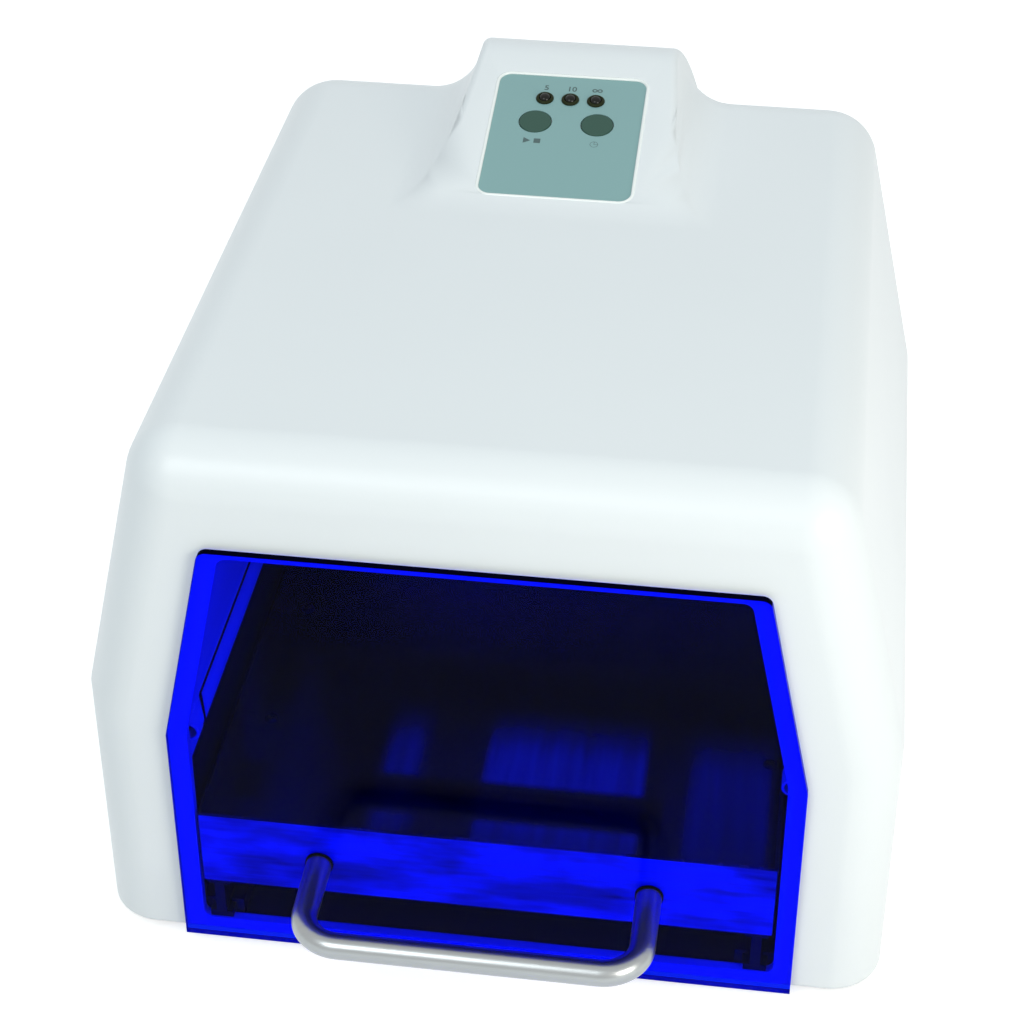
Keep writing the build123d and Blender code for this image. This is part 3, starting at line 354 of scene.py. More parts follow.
def vector_of(tree, **parts):
    """A vector from the parts that are given, with 0 for the others."""
    node = tree.nodes.new("ShaderNodeCombineXYZ")
    for axis, value in parts.items():
        feed(tree, value, node.inputs[axis])
    return node.outputs[0]


def moved(tree, shape, offset):
    """A shape at another place."""
    node = tree.nodes.new("GeometryNodeTransform")
    tree.links.new(shape, node.inputs["Geometry"])
    tree.links.new(offset, node.inputs["Translation"])
    return node.outputs["Geometry"]


def pan_head_screw():
    """A screw at each point. The point is the top of its head, and its shank runs against the facing."""
    tree, given, result = new_tree("pan_head_screw", [
        ("Head Radius", "NodeSocketFloat"), ("Head Height", "NodeSocketFloat"),
        ("Shank Radius", "NodeSocketFloat"), ("Length", "NodeSocketFloat"), ("Facing", "NodeSocketVector"),
        ("Finish", "NodeSocketMaterial")])
    link = tree.links.new
    radius, height = given.outputs["Head Radius"], given.outputs["Head Height"]
    head_sides, shank_sides = 32, 24
    crown_share, recess_reach, recess_share = 0.72, 1.1, 0.24
    half_height = reckon(tree, height, "MULTIPLY", 0.5)
    crown_radius = reckon(tree, radius, "MULTIPLY", crown_share)
    head = tree.nodes.new("GeometryNodeJoinGeometry")
    for top_radius, drop in ((radius, height), (crown_radius, half_height)):
        cone = tree.nodes.new("GeometryNodeMeshCone")
        cone.inputs["Vertices"].default_value = head_sides
        link(radius, cone.inputs["Radius Bottom"])
        link(top_radius, cone.inputs["Radius Top"])
        link(half_height, cone.inputs["Depth"])
        lowered = vector_of(tree, Z=reckon(tree, drop, "MULTIPLY", -1.0))
        link(moved(tree, cone.outputs["Mesh"], lowered), head.inputs[0])
    recess = add_node(tree, "GeometryNodeMeshBoolean", operation="DIFFERENCE")
    link(head.outputs[0], recess.inputs["Mesh 1"])
    bar_length = reckon(tree, radius, "MULTIPLY", recess_reach)
    bar_width = reckon(tree, radius, "MULTIPLY", recess_share)
    for across, along in ((bar_length, bar_width), (bar_width, bar_length)):
        bar = tree.nodes.new("GeometryNodeMeshCube")
        link(vector_of(tree, X=across, Y=along, Z=height), bar.inputs["Size"])
        link(bar.outputs["Mesh"], recess.inputs["Mesh 2"])
    shank = tree.nodes.new("GeometryNodeMeshCylinder")
    shank.inputs["Vertices"].default_value = shank_sides
    link(given.outputs["Shank Radius"], shank.inputs["Radius"])
    link(given.outputs["Length"], shank.inputs["Depth"])
    shank_middle = reckon(tree, reckon(tree, given.outputs["Length"], "MULTIPLY", -0.5), "SUBTRACT", height)
    screw = tree.nodes.new("GeometryNodeJoinGeometry")
    link(recess.outputs["Mesh"], screw.inputs[0])
    link(moved(tree, shank.outputs["Mesh"], vector_of(tree, Z=shank_middle)), screw.inputs[0])
    turn = add_node(tree, "FunctionNodeAlignRotationToVector", axis="Z")
    link(given.outputs["Facing"], turn.inputs["Vector"])
    set_out = tree.nodes.new("GeometryNodeInstanceOnPoints")
    link(given.outputs["Geometry"], set_out.inputs["Points"])
    link(screw.outputs[0], set_out.inputs["Instance"])
    link(turn.outputs["Rotation"], set_out.inputs["Rotation"])
    end_tree(tree, set_out.outputs["Instances"], given, result)
    return tree


def grow(name, tree, mesh, **values):
    """Runs a node tree on a mesh with the given inputs and keeps the outcome as a plain object."""
    piece = add_object(name, mesh)
    maker = piece.modifiers.new(name, "NODES")
    maker.node_group = tree
    identifiers = {item.name: item.identifier for item in tree.interface.items_tree if item.in_out == "INPUT"}
    for label, value in values.items():
        maker[identifiers[label.replace("_", " ")]] = value
    make_plain(piece)
    piece.data.name = name
    return piece


def separate_shapes(node):
    """The corner points of each loose shape in a CAD node."""
    build = merged(node)
    left = set(build.verts)
    shapes = []
    while left:
        shape, edge_of_it = set(), [left.pop()]
        while edge_of_it:
            vertex = edge_of_it.pop()
            shape.add(vertex)
            near = {edge.other_vert(vertex) for edge in vertex.link_edges} & left
            left -= near
            edge_of_it.extend(near)
        shapes.append([vertex.co.copy() for vertex in shape])
    build.free()
    return shapes


def mesh_of(name, points, edges=(), faces=()):
    """A mesh from its points, and from its edges or faces."""
    mesh = bpy.data.meshes.new(name)
    mesh.from_pydata(points, edges, faces)
    return mesh


def drive_screws(node, body, facing, head_diameter, head_height, shank_diameter, finish):
    """Screws in place of a CAD set, on the same places and equally long."""
    facing = Vector(facing)
    tops = []
    for points in separate_shapes(node):
        low = Vector([min(point[i] for point in points) for i in range(3)])
        high = Vector([max(point[i] for point in points) for i in range(3)])
        reach = abs((high - low).dot(facing))
        tops.append((low + high) / 2 + facing * reach / 2)
    places = mesh_of(node, sorted(tops, key=tuple))
    piece = grow(f"driven_{node}", screw_tree, places, Head_Radius=head_diameter / 2, Head_Height=head_height,
                 Shank_Radius=shank_diameter / 2, Length=reach - head_height, Facing=facing, Finish=finish)
    finish_piece(piece, finish, body, node)


rolled = rolled_metal()
zinc = new_finish("zinc", rolled, dict(
    Colour=(0.62, 0.63, 0.62, 1), Dark=(0.45, 0.46, 0.45, 1), Line_Scale=(300.0, 300.0, 300.0),
    Roughness_Low=0.25, Roughness_High=0.45), Metallic=1.0)
oxide_black = new_finish("oxide_black", rolled, dict(
    Colour=(0.05, 0.05, 0.055, 1), Dark=(0.03, 0.03, 0.035, 1), Line_Scale=(300.0, 300.0, 300.0),
    Roughness_Low=0.4, Roughness_High=0.6), Metallic=1.0)
screw_tree = pan_head_screw()
up, down, back = (0, 0, 1), (0, 0, -1), (0, 1, 0)
for cad_set, body, facing, head_diameter, head_height, shank_diameter, finish in (
        ("foot_screws", "unit", down, 0.0076, 0.0022, 0.0039, zinc),
        ("base_screws", "unit", down, 0.0076, 0.0022, 0.0039, zinc),
        ("rail_screws", "unit", down, 0.0076, 0.0022, 0.0039, zinc),
        ("bulkhead_screws", "unit", up, 0.0076, 0.0022, 0.0039, zinc),
        ("side_screen_screws", "unit", up, 0.0068, 0.0022, 0.0039, oxide_black),
        ("rear_panel_screws", "unit", back, 0.0076, 0.0024, 0.0039, zinc),
        ("inlet_screws", "unit", back, 0.0064, 0.0016, 0.0031, oxide_black),
        ("runner_screws", "drawer", up, 0.0056, 0.0015, 0.0031, oxide_black),
        ("handle_screws", "drawer", back, 0.009, 0.0028, 0.0049, oxide_black)):
    drive_screws(cad_set, body, facing, head_diameter, head_height, shank_diameter, finish)


# ---- Reflector ---------------------------------------------------------------------------------------
# Bright rolled aluminium sheet, folded over the chamber with a rolled bead along each lower edge, and riveted
# to the side screens.
bright_sheet = new_finish("bright_sheet", rolled, dict(
    Colour=(0.95, 0.96, 0.97, 1), Dark=(0.85, 0.86, 0.87, 1), Line_Scale=(900.0, 10.0, 900.0),
    Roughness_Low=0.25, Roughness_High=0.4))
dress(bright_sheet, "reflector")
dress(zinc, "reflector_rivets")


# ---- Reflector crease shade --------------------------------------------------------------------------
# A thin dark rod in the crease above each rolled bead of the reflector, drawn down over the bead's front end:
# painted shade that stands in for the shade of the crease.
def bent_rod():
    """A round rod along the given points, with its corners bent to one radius."""
    tree, given, result = new_tree("bent_rod", [
        ("Rod Radius", "NodeSocketFloat"), ("Bend Radius", "NodeSocketFloat"),
        ("Finish", "NodeSocketMaterial")])
    link = tree.links.new
    path = tree.nodes.new("GeometryNodeMeshToCurve")
    link(given.outputs["Geometry"], path.inputs["Mesh"])
    bend = add_node(tree, "GeometryNodeFilletCurve", mode="POLY")
    bend.inputs["Count"].default_value = 16
    link(path.outputs["Curve"], bend.inputs["Curve"])
    link(given.outputs["Bend Radius"], bend.inputs["Radius"])
    ring = tree.nodes.new("GeometryNodeCurvePrimitiveCircle")
    ring.inputs["Resolution"].default_value = 40
    link(given.outputs["Rod Radius"], ring.inputs["Radius"])
    rod = tree.nodes.new("GeometryNodeCurveToMesh")
    rod.inputs["Fill Caps"].default_value = True
    link(bend.outputs["Curve"], rod.inputs["Curve"])
    link(ring.outputs["Curve"], rod.inputs["Profile Curve"])
    smooth = tree.nodes.new("GeometryNodeSetShadeSmooth")
    link(rod.outputs["Mesh"], smooth.inputs["Geometry"])
    end_tree(tree, smooth.outputs["Geometry"], given, result)
    return tree


rod_tree = bent_rod()
# Near-black: painted shade for the creases above the beads.
crease_shade_dark = new_finish("crease_shade_dark", coat, dict(
    Colour=(0.004, 0.004, 0.005, 1), Grain_Size=1500.0, Roughness_Low=0.6, Roughness_High=0.8), IOR=1.2)
crease_shade_radius = 0.0006
crease_shade_bend = 0.0003
sheet_thickness = 0.001
bead_radius = 0.004
bead_above_edge = 0.013
bead_front = 0.0185         # from the sheet's front edge to where the painted crease shade turns down
crease_shade_forward = 0.01
crease_shade_rear_gap = 0.003
crease_shade_sweep = math.radians(150)
crease_shade_steps = 10
wall_low, wall_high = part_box("reflector")
bead_middle_x = wall_high.x - sheet_thickness
bead_middle_z = wall_low.z + bead_above_edge
crease_shade_turns = wall_low.y + bead_front
crease_shade_points, crease_shade_edges = [], []
for side in (-1, 1):
    first = len(crease_shade_points)
    crease_shade_points.append((side * bead_middle_x, wall_high.y - crease_shade_rear_gap, bead_middle_z + bead_radius))
    for step in range(crease_shade_steps):
        turn = crease_shade_sweep * step / (crease_shade_steps - 1)
        crease_shade_points.append((side * (bead_middle_x - bead_radius * math.sin(turn)),
                            crease_shade_turns - crease_shade_forward * math.sin(min(turn, math.pi / 2)),
                            bead_middle_z + bead_radius * math.cos(turn)))
    crease_shade_edges += [(k, k + 1) for k in range(first, first + crease_shade_steps)]
crease_shade_path = mesh_of("crease_shade_path", crease_shade_points, crease_shade_edges)
crease_shade_rods = grow("reflector_crease_shade", rod_tree, crease_shade_path, Rod_Radius=crease_shade_radius, Bend_Radius=crease_shade_bend,
             Finish=crease_shade_dark)
finish_piece(crease_shade_rods, crease_shade_dark, "unit")


# ---- Lamps -------------------------------------------------------------------------------------------
# Four twin tubes of frosted glass in white heat-proof caps and holders, in a row under the reflector.
# Zinc-plated clips hold them, and two ballasts in zinc-plated cans feed them through a white terminal block.
lamp_numbers = range(1, 5)
lamp_frosted = new_finish("lamp_frosted", moulding, dict(
    Colour=(0.85, 0.88, 0.9, 1), Shade=(0.8, 0.83, 0.86, 1), Roughness_Low=0.2,
    Roughness_High=0.35), Transmission_Weight=0.3, IOR=1.5)
dress(lamp_frosted, *[f"lamp_{i}" for i in lamp_numbers])
lamp_white = new_finish("lamp_white", moulding, dict(
    Colour=(0.8, 0.8, 0.76, 1), Shade=(0.75, 0.75, 0.7, 1)))
dress(lamp_white, *[f"lamp_cap_{i}" for i in lamp_numbers], *[f"lampholder_{i}" for i in lamp_numbers])
dress(lamp_white, "terminal_block")
dress(zinc, "lamp_clips", "ballast_left", "ballast_right")


# ---- Slide liners ------------------------------------------------------------------------------------
# Strips of dark low-friction plastic, pressed into the rails for the drawer's runners to slide on.
# They are cut from an extruded section.
liner_dark = new_finish("liner_dark", moulding, dict(
    Colour=(0.03, 0.03, 0.03, 1), Shade=(0.04, 0.04, 0.04, 1), Edge_Radius=0.0002))
dress(liner_dark, "liner_left", "liner_right")


# ---- Rear fittings -----------------------------------------------------------------------------------
# Black moulded inlet with nickelled pins, screwed to the rear panel, and a rocker switch in its frame, which
# clips into it. The key switches and the drawer's sensor are of the same black plastic.
moulded_black = new_finish("moulded_black", moulding, dict(
    Colour=(0.02, 0.02, 0.021, 1), Shade=(0.03, 0.03, 0.031, 1), Edge_Radius=0.0004))
dress(moulded_black, "inlet_body", "switch_frame", "switch_rocker", "key_switches", "reed_sensor")
nickel = new_finish("nickel", rolled, dict(
    Colour=(0.72, 0.68, 0.6, 1), Dark=(0.6, 0.56, 0.48, 1)), Metallic=1.0)
dress(nickel, "inlet_pins")


# ---- Control panel -----------------------------------------------------------------------------------
# A printed film stuck in a shallow recess on the console, with two keys and three indicators in their bezels.
# They stand on a circuit board screwed below. The signs are dark ink, printed on the film.
panel_teal = new_finish("panel_teal", moulding, dict(
    Colour=(0.205, 0.37, 0.37, 1), Shade=(0.22, 0.385, 0.385, 1), Edge_Radius=0.0002))
dress(panel_teal, "panel_overlay")
key_green = new_finish("key_green", moulding, dict(
    Colour=(0.03, 0.083, 0.062, 1), Shade=(0.036, 0.093, 0.07, 1), Edge_Radius=0.0002), IOR=1.3)
dress(key_green, "start_key", "time_key")
board_green = new_finish("board_green", moulding, dict(
    Colour=(0.01, 0.09, 0.03, 1), Shade=(0.012, 0.11, 0.04, 1)))
dress(board_green, "control_board")
dress(zinc, "board_screws")
lens_black = new_finish("lens_black", moulding, dict(
    Colour=(0.001, 0.002, 0.001, 1), Shade=(0.002, 0.003, 0.001, 1), Roughness_Low=0.05,
    Roughness_High=0.09, Edge_Radius=0.0002), IOR=1.35)
dress(lens_black, *[f"indicator_lens_{i}" for i in range(1, 4)])
bezel_olive = new_finish("bezel_olive", moulding, dict(
    Colour=(0.012, 0.016, 0.004, 1), Shade=(0.02, 0.025, 0.006, 1), Roughness_Low=0.35,
    Roughness_High=0.5, Edge_Radius=0.0002), IOR=1.2)
dress(bezel_olive, "indicator_bezels")

panel_slope = math.radians(14.4)
panel_low, panel_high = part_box("panel_overlay")
panel_middle = (panel_low + panel_high) / 2
panel_half_thickness = 0.0004
ink_lift = 0.00003


def on_panel(across, up, lift):
    """The place of a point on the sloping panel, from its middle."""
    return panel_middle + Vector((across, up * math.cos(panel_slope) - lift * math.sin(panel_slope),
                                  up * math.sin(panel_slope) + lift * math.cos(panel_slope)))


def printed_mark(text, size, across, up, bold=0.00008):
    """A character printed on the panel, as a mesh lying on it."""
    letters = bpy.data.curves.new("mark", "FONT")
    letters.body = text
    letters.size = size
    letters.offset = bold
    letters.align_x = "CENTER"
    letters.align_y = "CENTER"
    holder = add_object("mark", letters)
    bpy.context.view_layer.update()
    mesh = bpy.data.meshes.new_from_object(holder.evaluated_get(bpy.context.evaluated_depsgraph_get()))
    bpy.data.objects.remove(holder)
    for vertex in mesh.vertices:
        vertex.co = on_panel(across + vertex.co.x, up + vertex.co.y, panel_half_thickness + ink_lift)
    return mesh


lamp_row, lamp_spacing, key_row, key_spacing = 0.0229, 0.0108, 0.0081, 0.026
numbers_row = lamp_row + 0.0068
signs_row = key_row - 0.0122
number_size, endless_size, sign_size, clock_size = 0.0042, 0.0052, 0.0036, 0.0056
sign_apart = 0.0022
endless, play, stop, clock = "\u221e", "\u25b6", "\u25a0", "\u25f7"
marks = [printed_mark("5", number_size, -lamp_spacing, numbers_row),
         printed_mark("10", number_size, 0, numbers_row),
         printed_mark(endless, endless_size, lamp_spacing, numbers_row),
         printed_mark(play, sign_size, -key_spacing / 2 - sign_apart, signs_row),
         printed_mark(stop, sign_size, -key_spacing / 2 + sign_apart, signs_row),
         printed_mark(clock, clock_size, key_spacing / 2, signs_row, 0)]
build = bmesh.new()
for mark in marks:
    build.from_mesh(mark)
print_mesh = bpy.data.meshes.new("panel_print")
build.to_mesh(print_mesh)
build.free()
panel_print = add_object("panel_print", print_mesh)
print_ink = new_finish("print_ink", moulding, dict(
    Colour=(0.05, 0.10, 0.10, 1), Shade=(0.06, 0.115, 0.115, 1), Edge_Radius=0.0001))
finish_piece(panel_print, print_ink, "unit")


# ---- Panel seal --------------------------------------------------------------------------------------
# A glossy white lip of sealing compound round the panel, pressed from a tube and run into the edge of its
# recess.
seal_white = new_finish("seal_white", moulding, dict(
    Colour=(0.86, 0.89, 0.87, 1), Shade=(0.82, 0.85, 0.83, 1), Roughness_Low=0.12, Roughness_High=0.2,
    Edge_Radius=0.0002), Coat_Weight=0.6, Coat_Roughness=0.05)
seal_radius = 0.0008
seal_lift = 0.0003
panel_corner = 0.005
seal_half_width = (panel_high.x - panel_low.x) / 2 + seal_radius
seal_half_length = (panel_high.y - panel_low.y) / 2 / math.cos(panel_slope) + seal_radius / 2
seal_corners = [on_panel(x * seal_half_width, y * seal_half_length, seal_lift)
                for x, y in ((-1, -1), (1, -1), (1, 1), (-1, 1))]
seal_path = mesh_of("seal_path", seal_corners, [(0, 1), (1, 2), (2, 3), (3, 0)])
seal = grow("panel_seal", rod_tree, seal_path, Rod_Radius=seal_radius, Bend_Radius=panel_corner + seal_radius,
            Finish=seal_white)
finish_piece(seal, seal_white, "unit")


# ---- Drawer tray and runners -------------------------------------------------------------------------
# Brushed stainless sheet, folded to a shallow tray with a magnet at its rear, on two black anodised runners
# that are screwed below it. Its colour is far darker than steel: painted shade for the dark in the chamber.
# Paler patches on its floor are painted reflections, with a gap for the handle bar's dark mirror image.
def painted_reflection_patches():
    """Painted reflections: a mask of soft-edged patches on the tray's floor, streaked along its depth."""
    group, given, result = new_effect(
        "painted_reflection_patches",
        [("Streak Scale", "NodeSocketVector", (160.0, 14.0, 1.0)),
         ("Bar Reflection Gap Reach", "NodeSocketFloat", 0.064)],
        [("Mask", "NodeSocketFloat")])
    link = group.links.new
    place = add_node(group, "ShaderNodeTexCoord")
    split = add_node(group, "ShaderNodeSeparateXYZ")
    link(place.outputs["Object"], split.inputs["Vector"])
    streaks = noise_of(group, stretch=given.outputs["Streak Scale"])

    def profile(axis, low, high, heights):
        """A height for each place along an axis, from pairs of a place in metres and its height."""
        ramp = add_node(group, "ShaderNodeValToRGB")
        ramp.color_ramp.interpolation = "EASE"
        link(range_of(group, split.outputs[axis], 0.0, 1.0, low, high), ramp.inputs["Fac"])
        for end in ramp.color_ramp.elements:
            end.color = (0, 0, 0, 1)
        for spot, height in heights:
            stop = ramp.color_ramp.elements.new((spot - low) / (high - low))
            stop.color = (height, height, height, 1)
        return ramp.outputs["Color"]

    across = profile("X", -0.12, 0.12, (
        (-0.106, 0.2), (-0.096, 0.0), (-0.058, 0.0), (-0.049, 0.6), (-0.042, 0.55), (-0.033, 0.1),
        (-0.014, 0.12), (-0.009, 0.85), (0.053, 0.9), (0.058, 0.1), (0.070, 0.15), (0.077, 0.65),
        (0.105, 0.65), (0.11, 0.0)))
    along = profile("Y", -0.14, 0.0, ((-0.134, 0.55), (-0.05, 1.0), (-0.012, 0.0)))
    # A painted dark band: the handle bar's mirror image, where the patches are left out.
    bar_reflection_gap = profile("Y", -0.14, 0.0, ((-0.09, 0.0), (-0.084, 0.9), (-0.068, 0.9), (-0.062, 0.0)))
    in_reach = reckon(group, given.outputs["Bar Reflection Gap Reach"], "GREATER_THAN", split.outputs["X"])
    kept = reckon(group, 1.0, "SUBTRACT", reckon(group, bar_reflection_gap, "MULTIPLY", in_reach))
    patches = reckon(group, reckon(group, across, "MULTIPLY", along), "MULTIPLY", kept)
    uneven = range_of(group, streaks, 0.6, 1.4)
    link(reckon(group, patches, "MULTIPLY", uneven), result.inputs["Mask"])
    return group


brushed_steel, tree, shader = new_material("brushed_steel")
# Far darker than steel: painted shade for the dark in the chamber.
sheet = place_effect(tree, shader, rolled, Colour=(0.15, 0.15, 0.155, 1), Dark=(0.08, 0.08, 0.085, 1),
                     Line_Scale=(14.0, 700.0, 700.0), Roughness_Low=0.12, Roughness_High=0.3)
# Paler patches: painted reflections on the floor.
reflection_patches = place_effect(tree, shader, painted_reflection_patches())
reflection_colour = mix_colours(tree, reflection_patches.outputs["Mask"], sheet.outputs["Base Color"], (0.5, 0.5, 0.52, 1))
tree.links.new(reflection_colour, shader.inputs["Base Color"])
tree.links.new(range_of(tree, reflection_patches.outputs["Mask"], 1.0, 0.2), shader.inputs["Metallic"])
dress(brushed_steel, "drawer_tray")
runner_black = new_finish("runner_black", rolled, dict(
    Colour=(0.02, 0.02, 0.022, 1), Dark=(0.012, 0.012, 0.013, 1), Line_Scale=(700.0, 10.0, 700.0),
    Roughness_Low=0.35, Roughness_High=0.5), Metallic=0.6)
dress(runner_black, "runner_left", "runner_right")
dress(zinc, "magnet")


# ---- Drawer front ------------------------------------------------------------------------------------
# Clear deep-blue acrylic, cast in a sheet and sawn to shape, with polished faces and an opaque perimeter,
# near-black where it faces up and dark blue elsewhere. The handle's screws hold it to the tray.
plate_blue, tree, shader = new_material("plate_blue", Transmission_Weight=1.0, IOR=1.05, Roughness=0.0,
                                        Coat_Weight=0.05, Coat_Roughness=0.0, Coat_IOR=1.5)
tree.links.new(mix_colours(tree, noise_of(tree, 9), (0.0004, 0.016, 0.98, 1), (0.0004, 0.020, 1.0, 1)),
               shader.inputs["Base Color"])
blue_shadow = add_node(tree, "ShaderNodeBsdfTransparent")
blue_shadow.inputs["Color"].default_value = (0.02, 0.6, 1.0, 1)
rays = add_node(tree, "ShaderNodeLightPath")
choice = add_node(tree, "ShaderNodeMixShader")
tree.links.new(rays.outputs["Is Shadow Ray"], choice.inputs["Fac"])
tree.links.new(shader.outputs["BSDF"], choice.inputs[1])
tree.links.new(blue_shadow.outputs["BSDF"], choice.inputs[2])
tree.links.new(choice.outputs["Shader"], tree.nodes["Material Output"].inputs["Surface"])
front_plate = smooth_copy("drawer_front", "front_plate")
air_behind = 0.0001
plate_front, plate_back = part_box("drawer_front")[0].y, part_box("drawer_front")[1].y
for vertex in front_plate.data.vertices:
    if vertex.co.y > (plate_front + plate_back) / 2:
        vertex.co.y -= air_behind
finish_piece(front_plate, plate_blue, "drawer", "drawer_front")
plate_edge = new_finish("plate_edge", coat, dict(
    Colour=(0.0004, 0.0004, 0.006, 1), Grain_Size=600.0, Roughness_Low=0.3,
    Roughness_High=0.5), IOR=1.03)
plate_side = new_finish("plate_side", coat, dict(
    Colour=(0.001, 0.004, 0.35, 1), Grain_Size=600.0, Roughness_Low=0.3, Roughness_High=0.5), IOR=1.2)
front_plate.data.materials.append(plate_edge)
front_plate.data.materials.append(plate_side)
top_edge_slot, side_edge_slot = 1, 2
mostly = 0.5
for face in front_plate.data.polygons:
    if face.normal.z > mostly:
        face.material_index = top_edge_slot
    elif abs(face.normal.y) < mostly:
        face.material_index = side_edge_slot


# ---- Tray front sheen --------------------------------------------------------------------------------
# A thin pale film between the tray's front and the plate: painted sheen that stands in for the bright front
# wall of the steel tray seen through the blue. Darker blotches and lengthwise smears run over it.
def painted_sheen_film():
    """Pale film of painted sheen, with stretched smears and soft dark blotches."""
    group, given, result = new_effect(
        "painted_sheen_film",
        [("Pale", "NodeSocketColor", (0.8, 0.8, 0.8, 1)), ("Blotched", "NodeSocketColor", (0.1, 0.1, 0.1, 1)),
         ("Blotch Scale", "NodeSocketVector", (26.0, 26.0, 70.0)),
         ("Smear Scale", "NodeSocketVector", (30.0, 30.0, 420.0))],
        [("Base Color", "NodeSocketColor"), ("Roughness", "NodeSocketFloat")])
    blotches = range_of(group, noise_of(group, 1, 3, given.outputs["Blotch Scale"]), 0.0, 1.0, 0.42, 0.62)
    smears = range_of(group, noise_of(group, 1, 4, given.outputs["Smear Scale"]), 0.0, 1.0, 0.3, 0.75)
    blotch_share, smear_share = 0.6, 0.4
    blotched = reckon(group, reckon(group, blotches, "MULTIPLY", blotch_share), "ADD",
                 reckon(group, smears, "MULTIPLY", smear_share))
    group.links.new(mix_colours(group, blotched, given.outputs["Pale"], given.outputs["Blotched"]),
                    result.inputs["Base Color"])
    group.links.new(range_of(group, blotched, 0.6, 0.3), result.inputs["Roughness"])
    return group


# Painted sheen: a pale film for the tray's bright front wall.
sheen_film_pale = new_finish("sheen_film_pale", painted_sheen_film(), dict(
    Pale=(0.84, 0.84, 0.84, 1), Blotched=(0.12, 0.12, 0.12, 1)))
sheen_film_margin = 0.0004
tray_low, tray_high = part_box("drawer_tray")
sheen_film_y = plate_back - air_behind / 2
sheen_film_corners = [(x, sheen_film_y, z) for x, z in ((tray_low.x + sheen_film_margin, tray_low.z + sheen_film_margin),
                                            (tray_high.x - sheen_film_margin, tray_low.z + sheen_film_margin),
                                            (tray_high.x - sheen_film_margin, tray_high.z - sheen_film_margin),
                                            (tray_low.x + sheen_film_margin, tray_high.z - sheen_film_margin))]
sheen_film = add_object("tray_front_sheen", mesh_of("tray_front_sheen", sheen_film_corners, faces=[(0, 1, 2, 3)]))
finish_piece(sheen_film, sheen_film_pale, "drawer")


# ---- Handle ------------------------------------------------------------------------------------------
# A bow of satin stainless rod, bent cold and ground along its length. It stands on two black washers, and
# screws from inside the tray hold it.
# Darker than bare steel: painted shade that stands in for the darker room it mirrors.
handle_satin = new_finish("handle_satin", rolled, dict(
    Colour=(0.42, 0.44, 0.44, 1), Dark=(0.33, 0.35, 0.36, 1), Line_Scale=(120.0, 900.0, 900.0),
    Roughness_Low=0.26, Roughness_High=0.34), Metallic=1.0)
bow_low, bow_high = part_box("handle")
rod_radius = (bow_high.z - bow_low.z) / 2
bow_bend = 0.015
bow_height = (bow_low.z + bow_high.z) / 2
bow_left, bow_right = bow_low.x + rod_radius, bow_high.x - rod_radius
bow_front = bow_low.y + rod_radius
bow_path = mesh_of("bow_path", [(bow_left, bow_high.y, bow_height), (bow_left, bow_front, bow_height),
                                (bow_right, bow_front, bow_height), (bow_right, bow_high.y, bow_height)],
                   [(0, 1), (1, 2), (2, 3)])
bow = grow("bow_handle", rod_tree, bow_path, Rod_Radius=rod_radius, Bend_Radius=bow_bend, Finish=handle_satin)
cap_crease = 40
bow.data.set_sharp_from_angle(angle=math.radians(cap_crease))
finish_piece(bow, handle_satin, "drawer", "handle")
washer_black = new_finish("washer_black", coat, dict(
    Colour=(0.003, 0.003, 0.004, 1), Roughness_Low=0.6, Roughness_High=0.8), IOR=1.15)
dress(washer_black, "handle_washers")


# ---- Studio ------------------------------------------------------------------------------------------
# A plain white floor, which metal and clear plastic also see as white, in a room that is paler above than at
# the sides. A small warm lamp stands low at the right front, and a large one high in front.
def seen_rays(tree):
    """1 for the rays that show the background: the camera's, and those of gloss and of clear plastic."""
    rays = add_node(tree, "ShaderNodeLightPath")
    direct = reckon(tree, rays.outputs["Is Camera Ray"], "MAXIMUM", rays.outputs["Is Glossy Ray"])
    return reckon(tree, direct, "MAXIMUM", rays.outputs["Is Transmission Ray"])


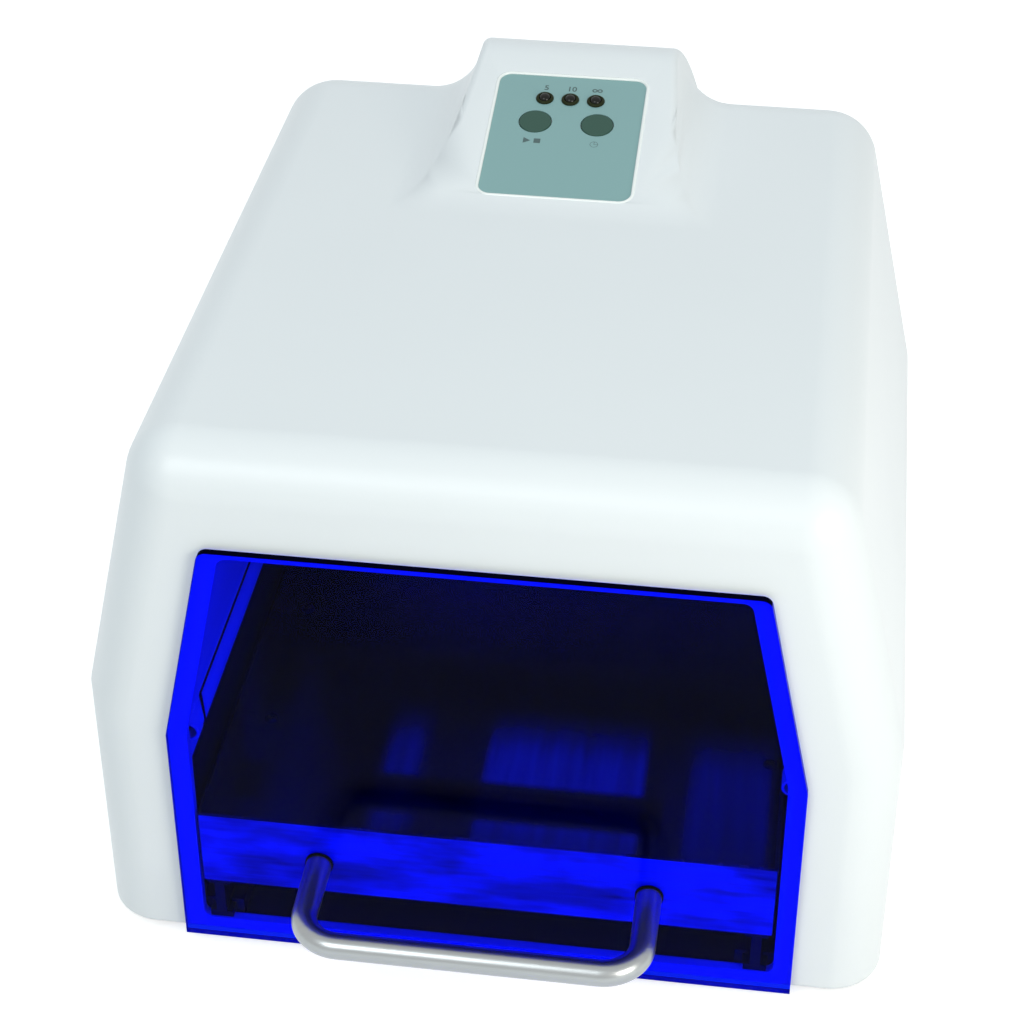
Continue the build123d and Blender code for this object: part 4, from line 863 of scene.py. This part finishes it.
floor_half = 4.0
floor_glow = 0.6
floor_mesh = mesh_of("studio_floor", [(-floor_half, -floor_half, 0), (floor_half, -floor_half, 0),
                                      (floor_half, floor_half, 0), (-floor_half, floor_half, 0)],
                     faces=[(0, 1, 2, 3)])
floor = add_object("studio_floor", floor_mesh)
floor_white, tree, shader = new_material("floor_white", Roughness=0.9)
shader.inputs["Base Color"].default_value = (0.72, 0.72, 0.72, 1)
glow = add_node(tree, "ShaderNodeEmission")
tree.links.new(reckon(tree, seen_rays(tree), "MULTIPLY", floor_glow), glow.inputs["Strength"])
total = add_node(tree, "ShaderNodeAddShader")
tree.links.new(shader.outputs["BSDF"], total.inputs[0])
tree.links.new(glow.outputs["Emission"], total.inputs[1])
tree.links.new(total.outputs["Shader"], tree.nodes["Material Output"].inputs["Surface"])
floor_mesh.materials.append(floor_white)

world = bpy.data.worlds.new("studio_world")
world.use_nodes = True
tree = world.node_tree
room = tree.nodes["Background"]
direction = add_node(tree, "ShaderNodeTexCoord")
split = add_node(tree, "ShaderNodeSeparateXYZ")
tree.links.new(direction.outputs["Generated"], split.inputs["Vector"])
heights = add_node(tree, "ShaderNodeValToRGB")
for stop, (height, colour) in zip(heights.color_ramp.elements, ((0.15, (0.10, 0.14, 0.15, 1)),
                                                                (0.75, (0.80, 0.86, 0.88, 1)))):
    stop.position = height
    stop.color = colour
tree.links.new(split.outputs["Z"], heights.inputs["Fac"])
tree.links.new(heights.outputs["Color"], room.inputs["Color"])
seen_white = add_node(tree, "ShaderNodeBackground")
seen_white.inputs["Color"].default_value = (1, 1, 1, 1)
choice = add_node(tree, "ShaderNodeMixShader")
tree.links.new(seen_rays(tree), choice.inputs["Fac"])
tree.links.new(room.outputs["Background"], choice.inputs[1])
tree.links.new(seen_white.outputs["Background"], choice.inputs[2])
tree.links.new(choice.outputs["Shader"], tree.nodes["World Output"].inputs["Surface"])
bpy.context.scene.world = world


def soft_lamp(name, place, aim, width, power, colour):
    """A square area lamp at a place, turned towards a point."""
    light = bpy.data.lights.new(name, "AREA")
    light.size = width
    light.energy = power
    light.color = colour
    lamp = add_object(name, light)
    lamp.location = place
    lamp.rotation_euler = (Vector(aim) - Vector(place)).to_track_quat("-Z", "Y").to_euler()


soft_lamp("key_lamp", (0.8, -0.7, 0.48), (0, -0.05, 0.1), 0.5, 5.2, (1.0, 0.965, 0.87))
soft_lamp("fill_lamp", (-0.6, -1.6, 1.6), (0, 0, 0.12), 1.0, 13, (0.90, 0.96, 0.98))
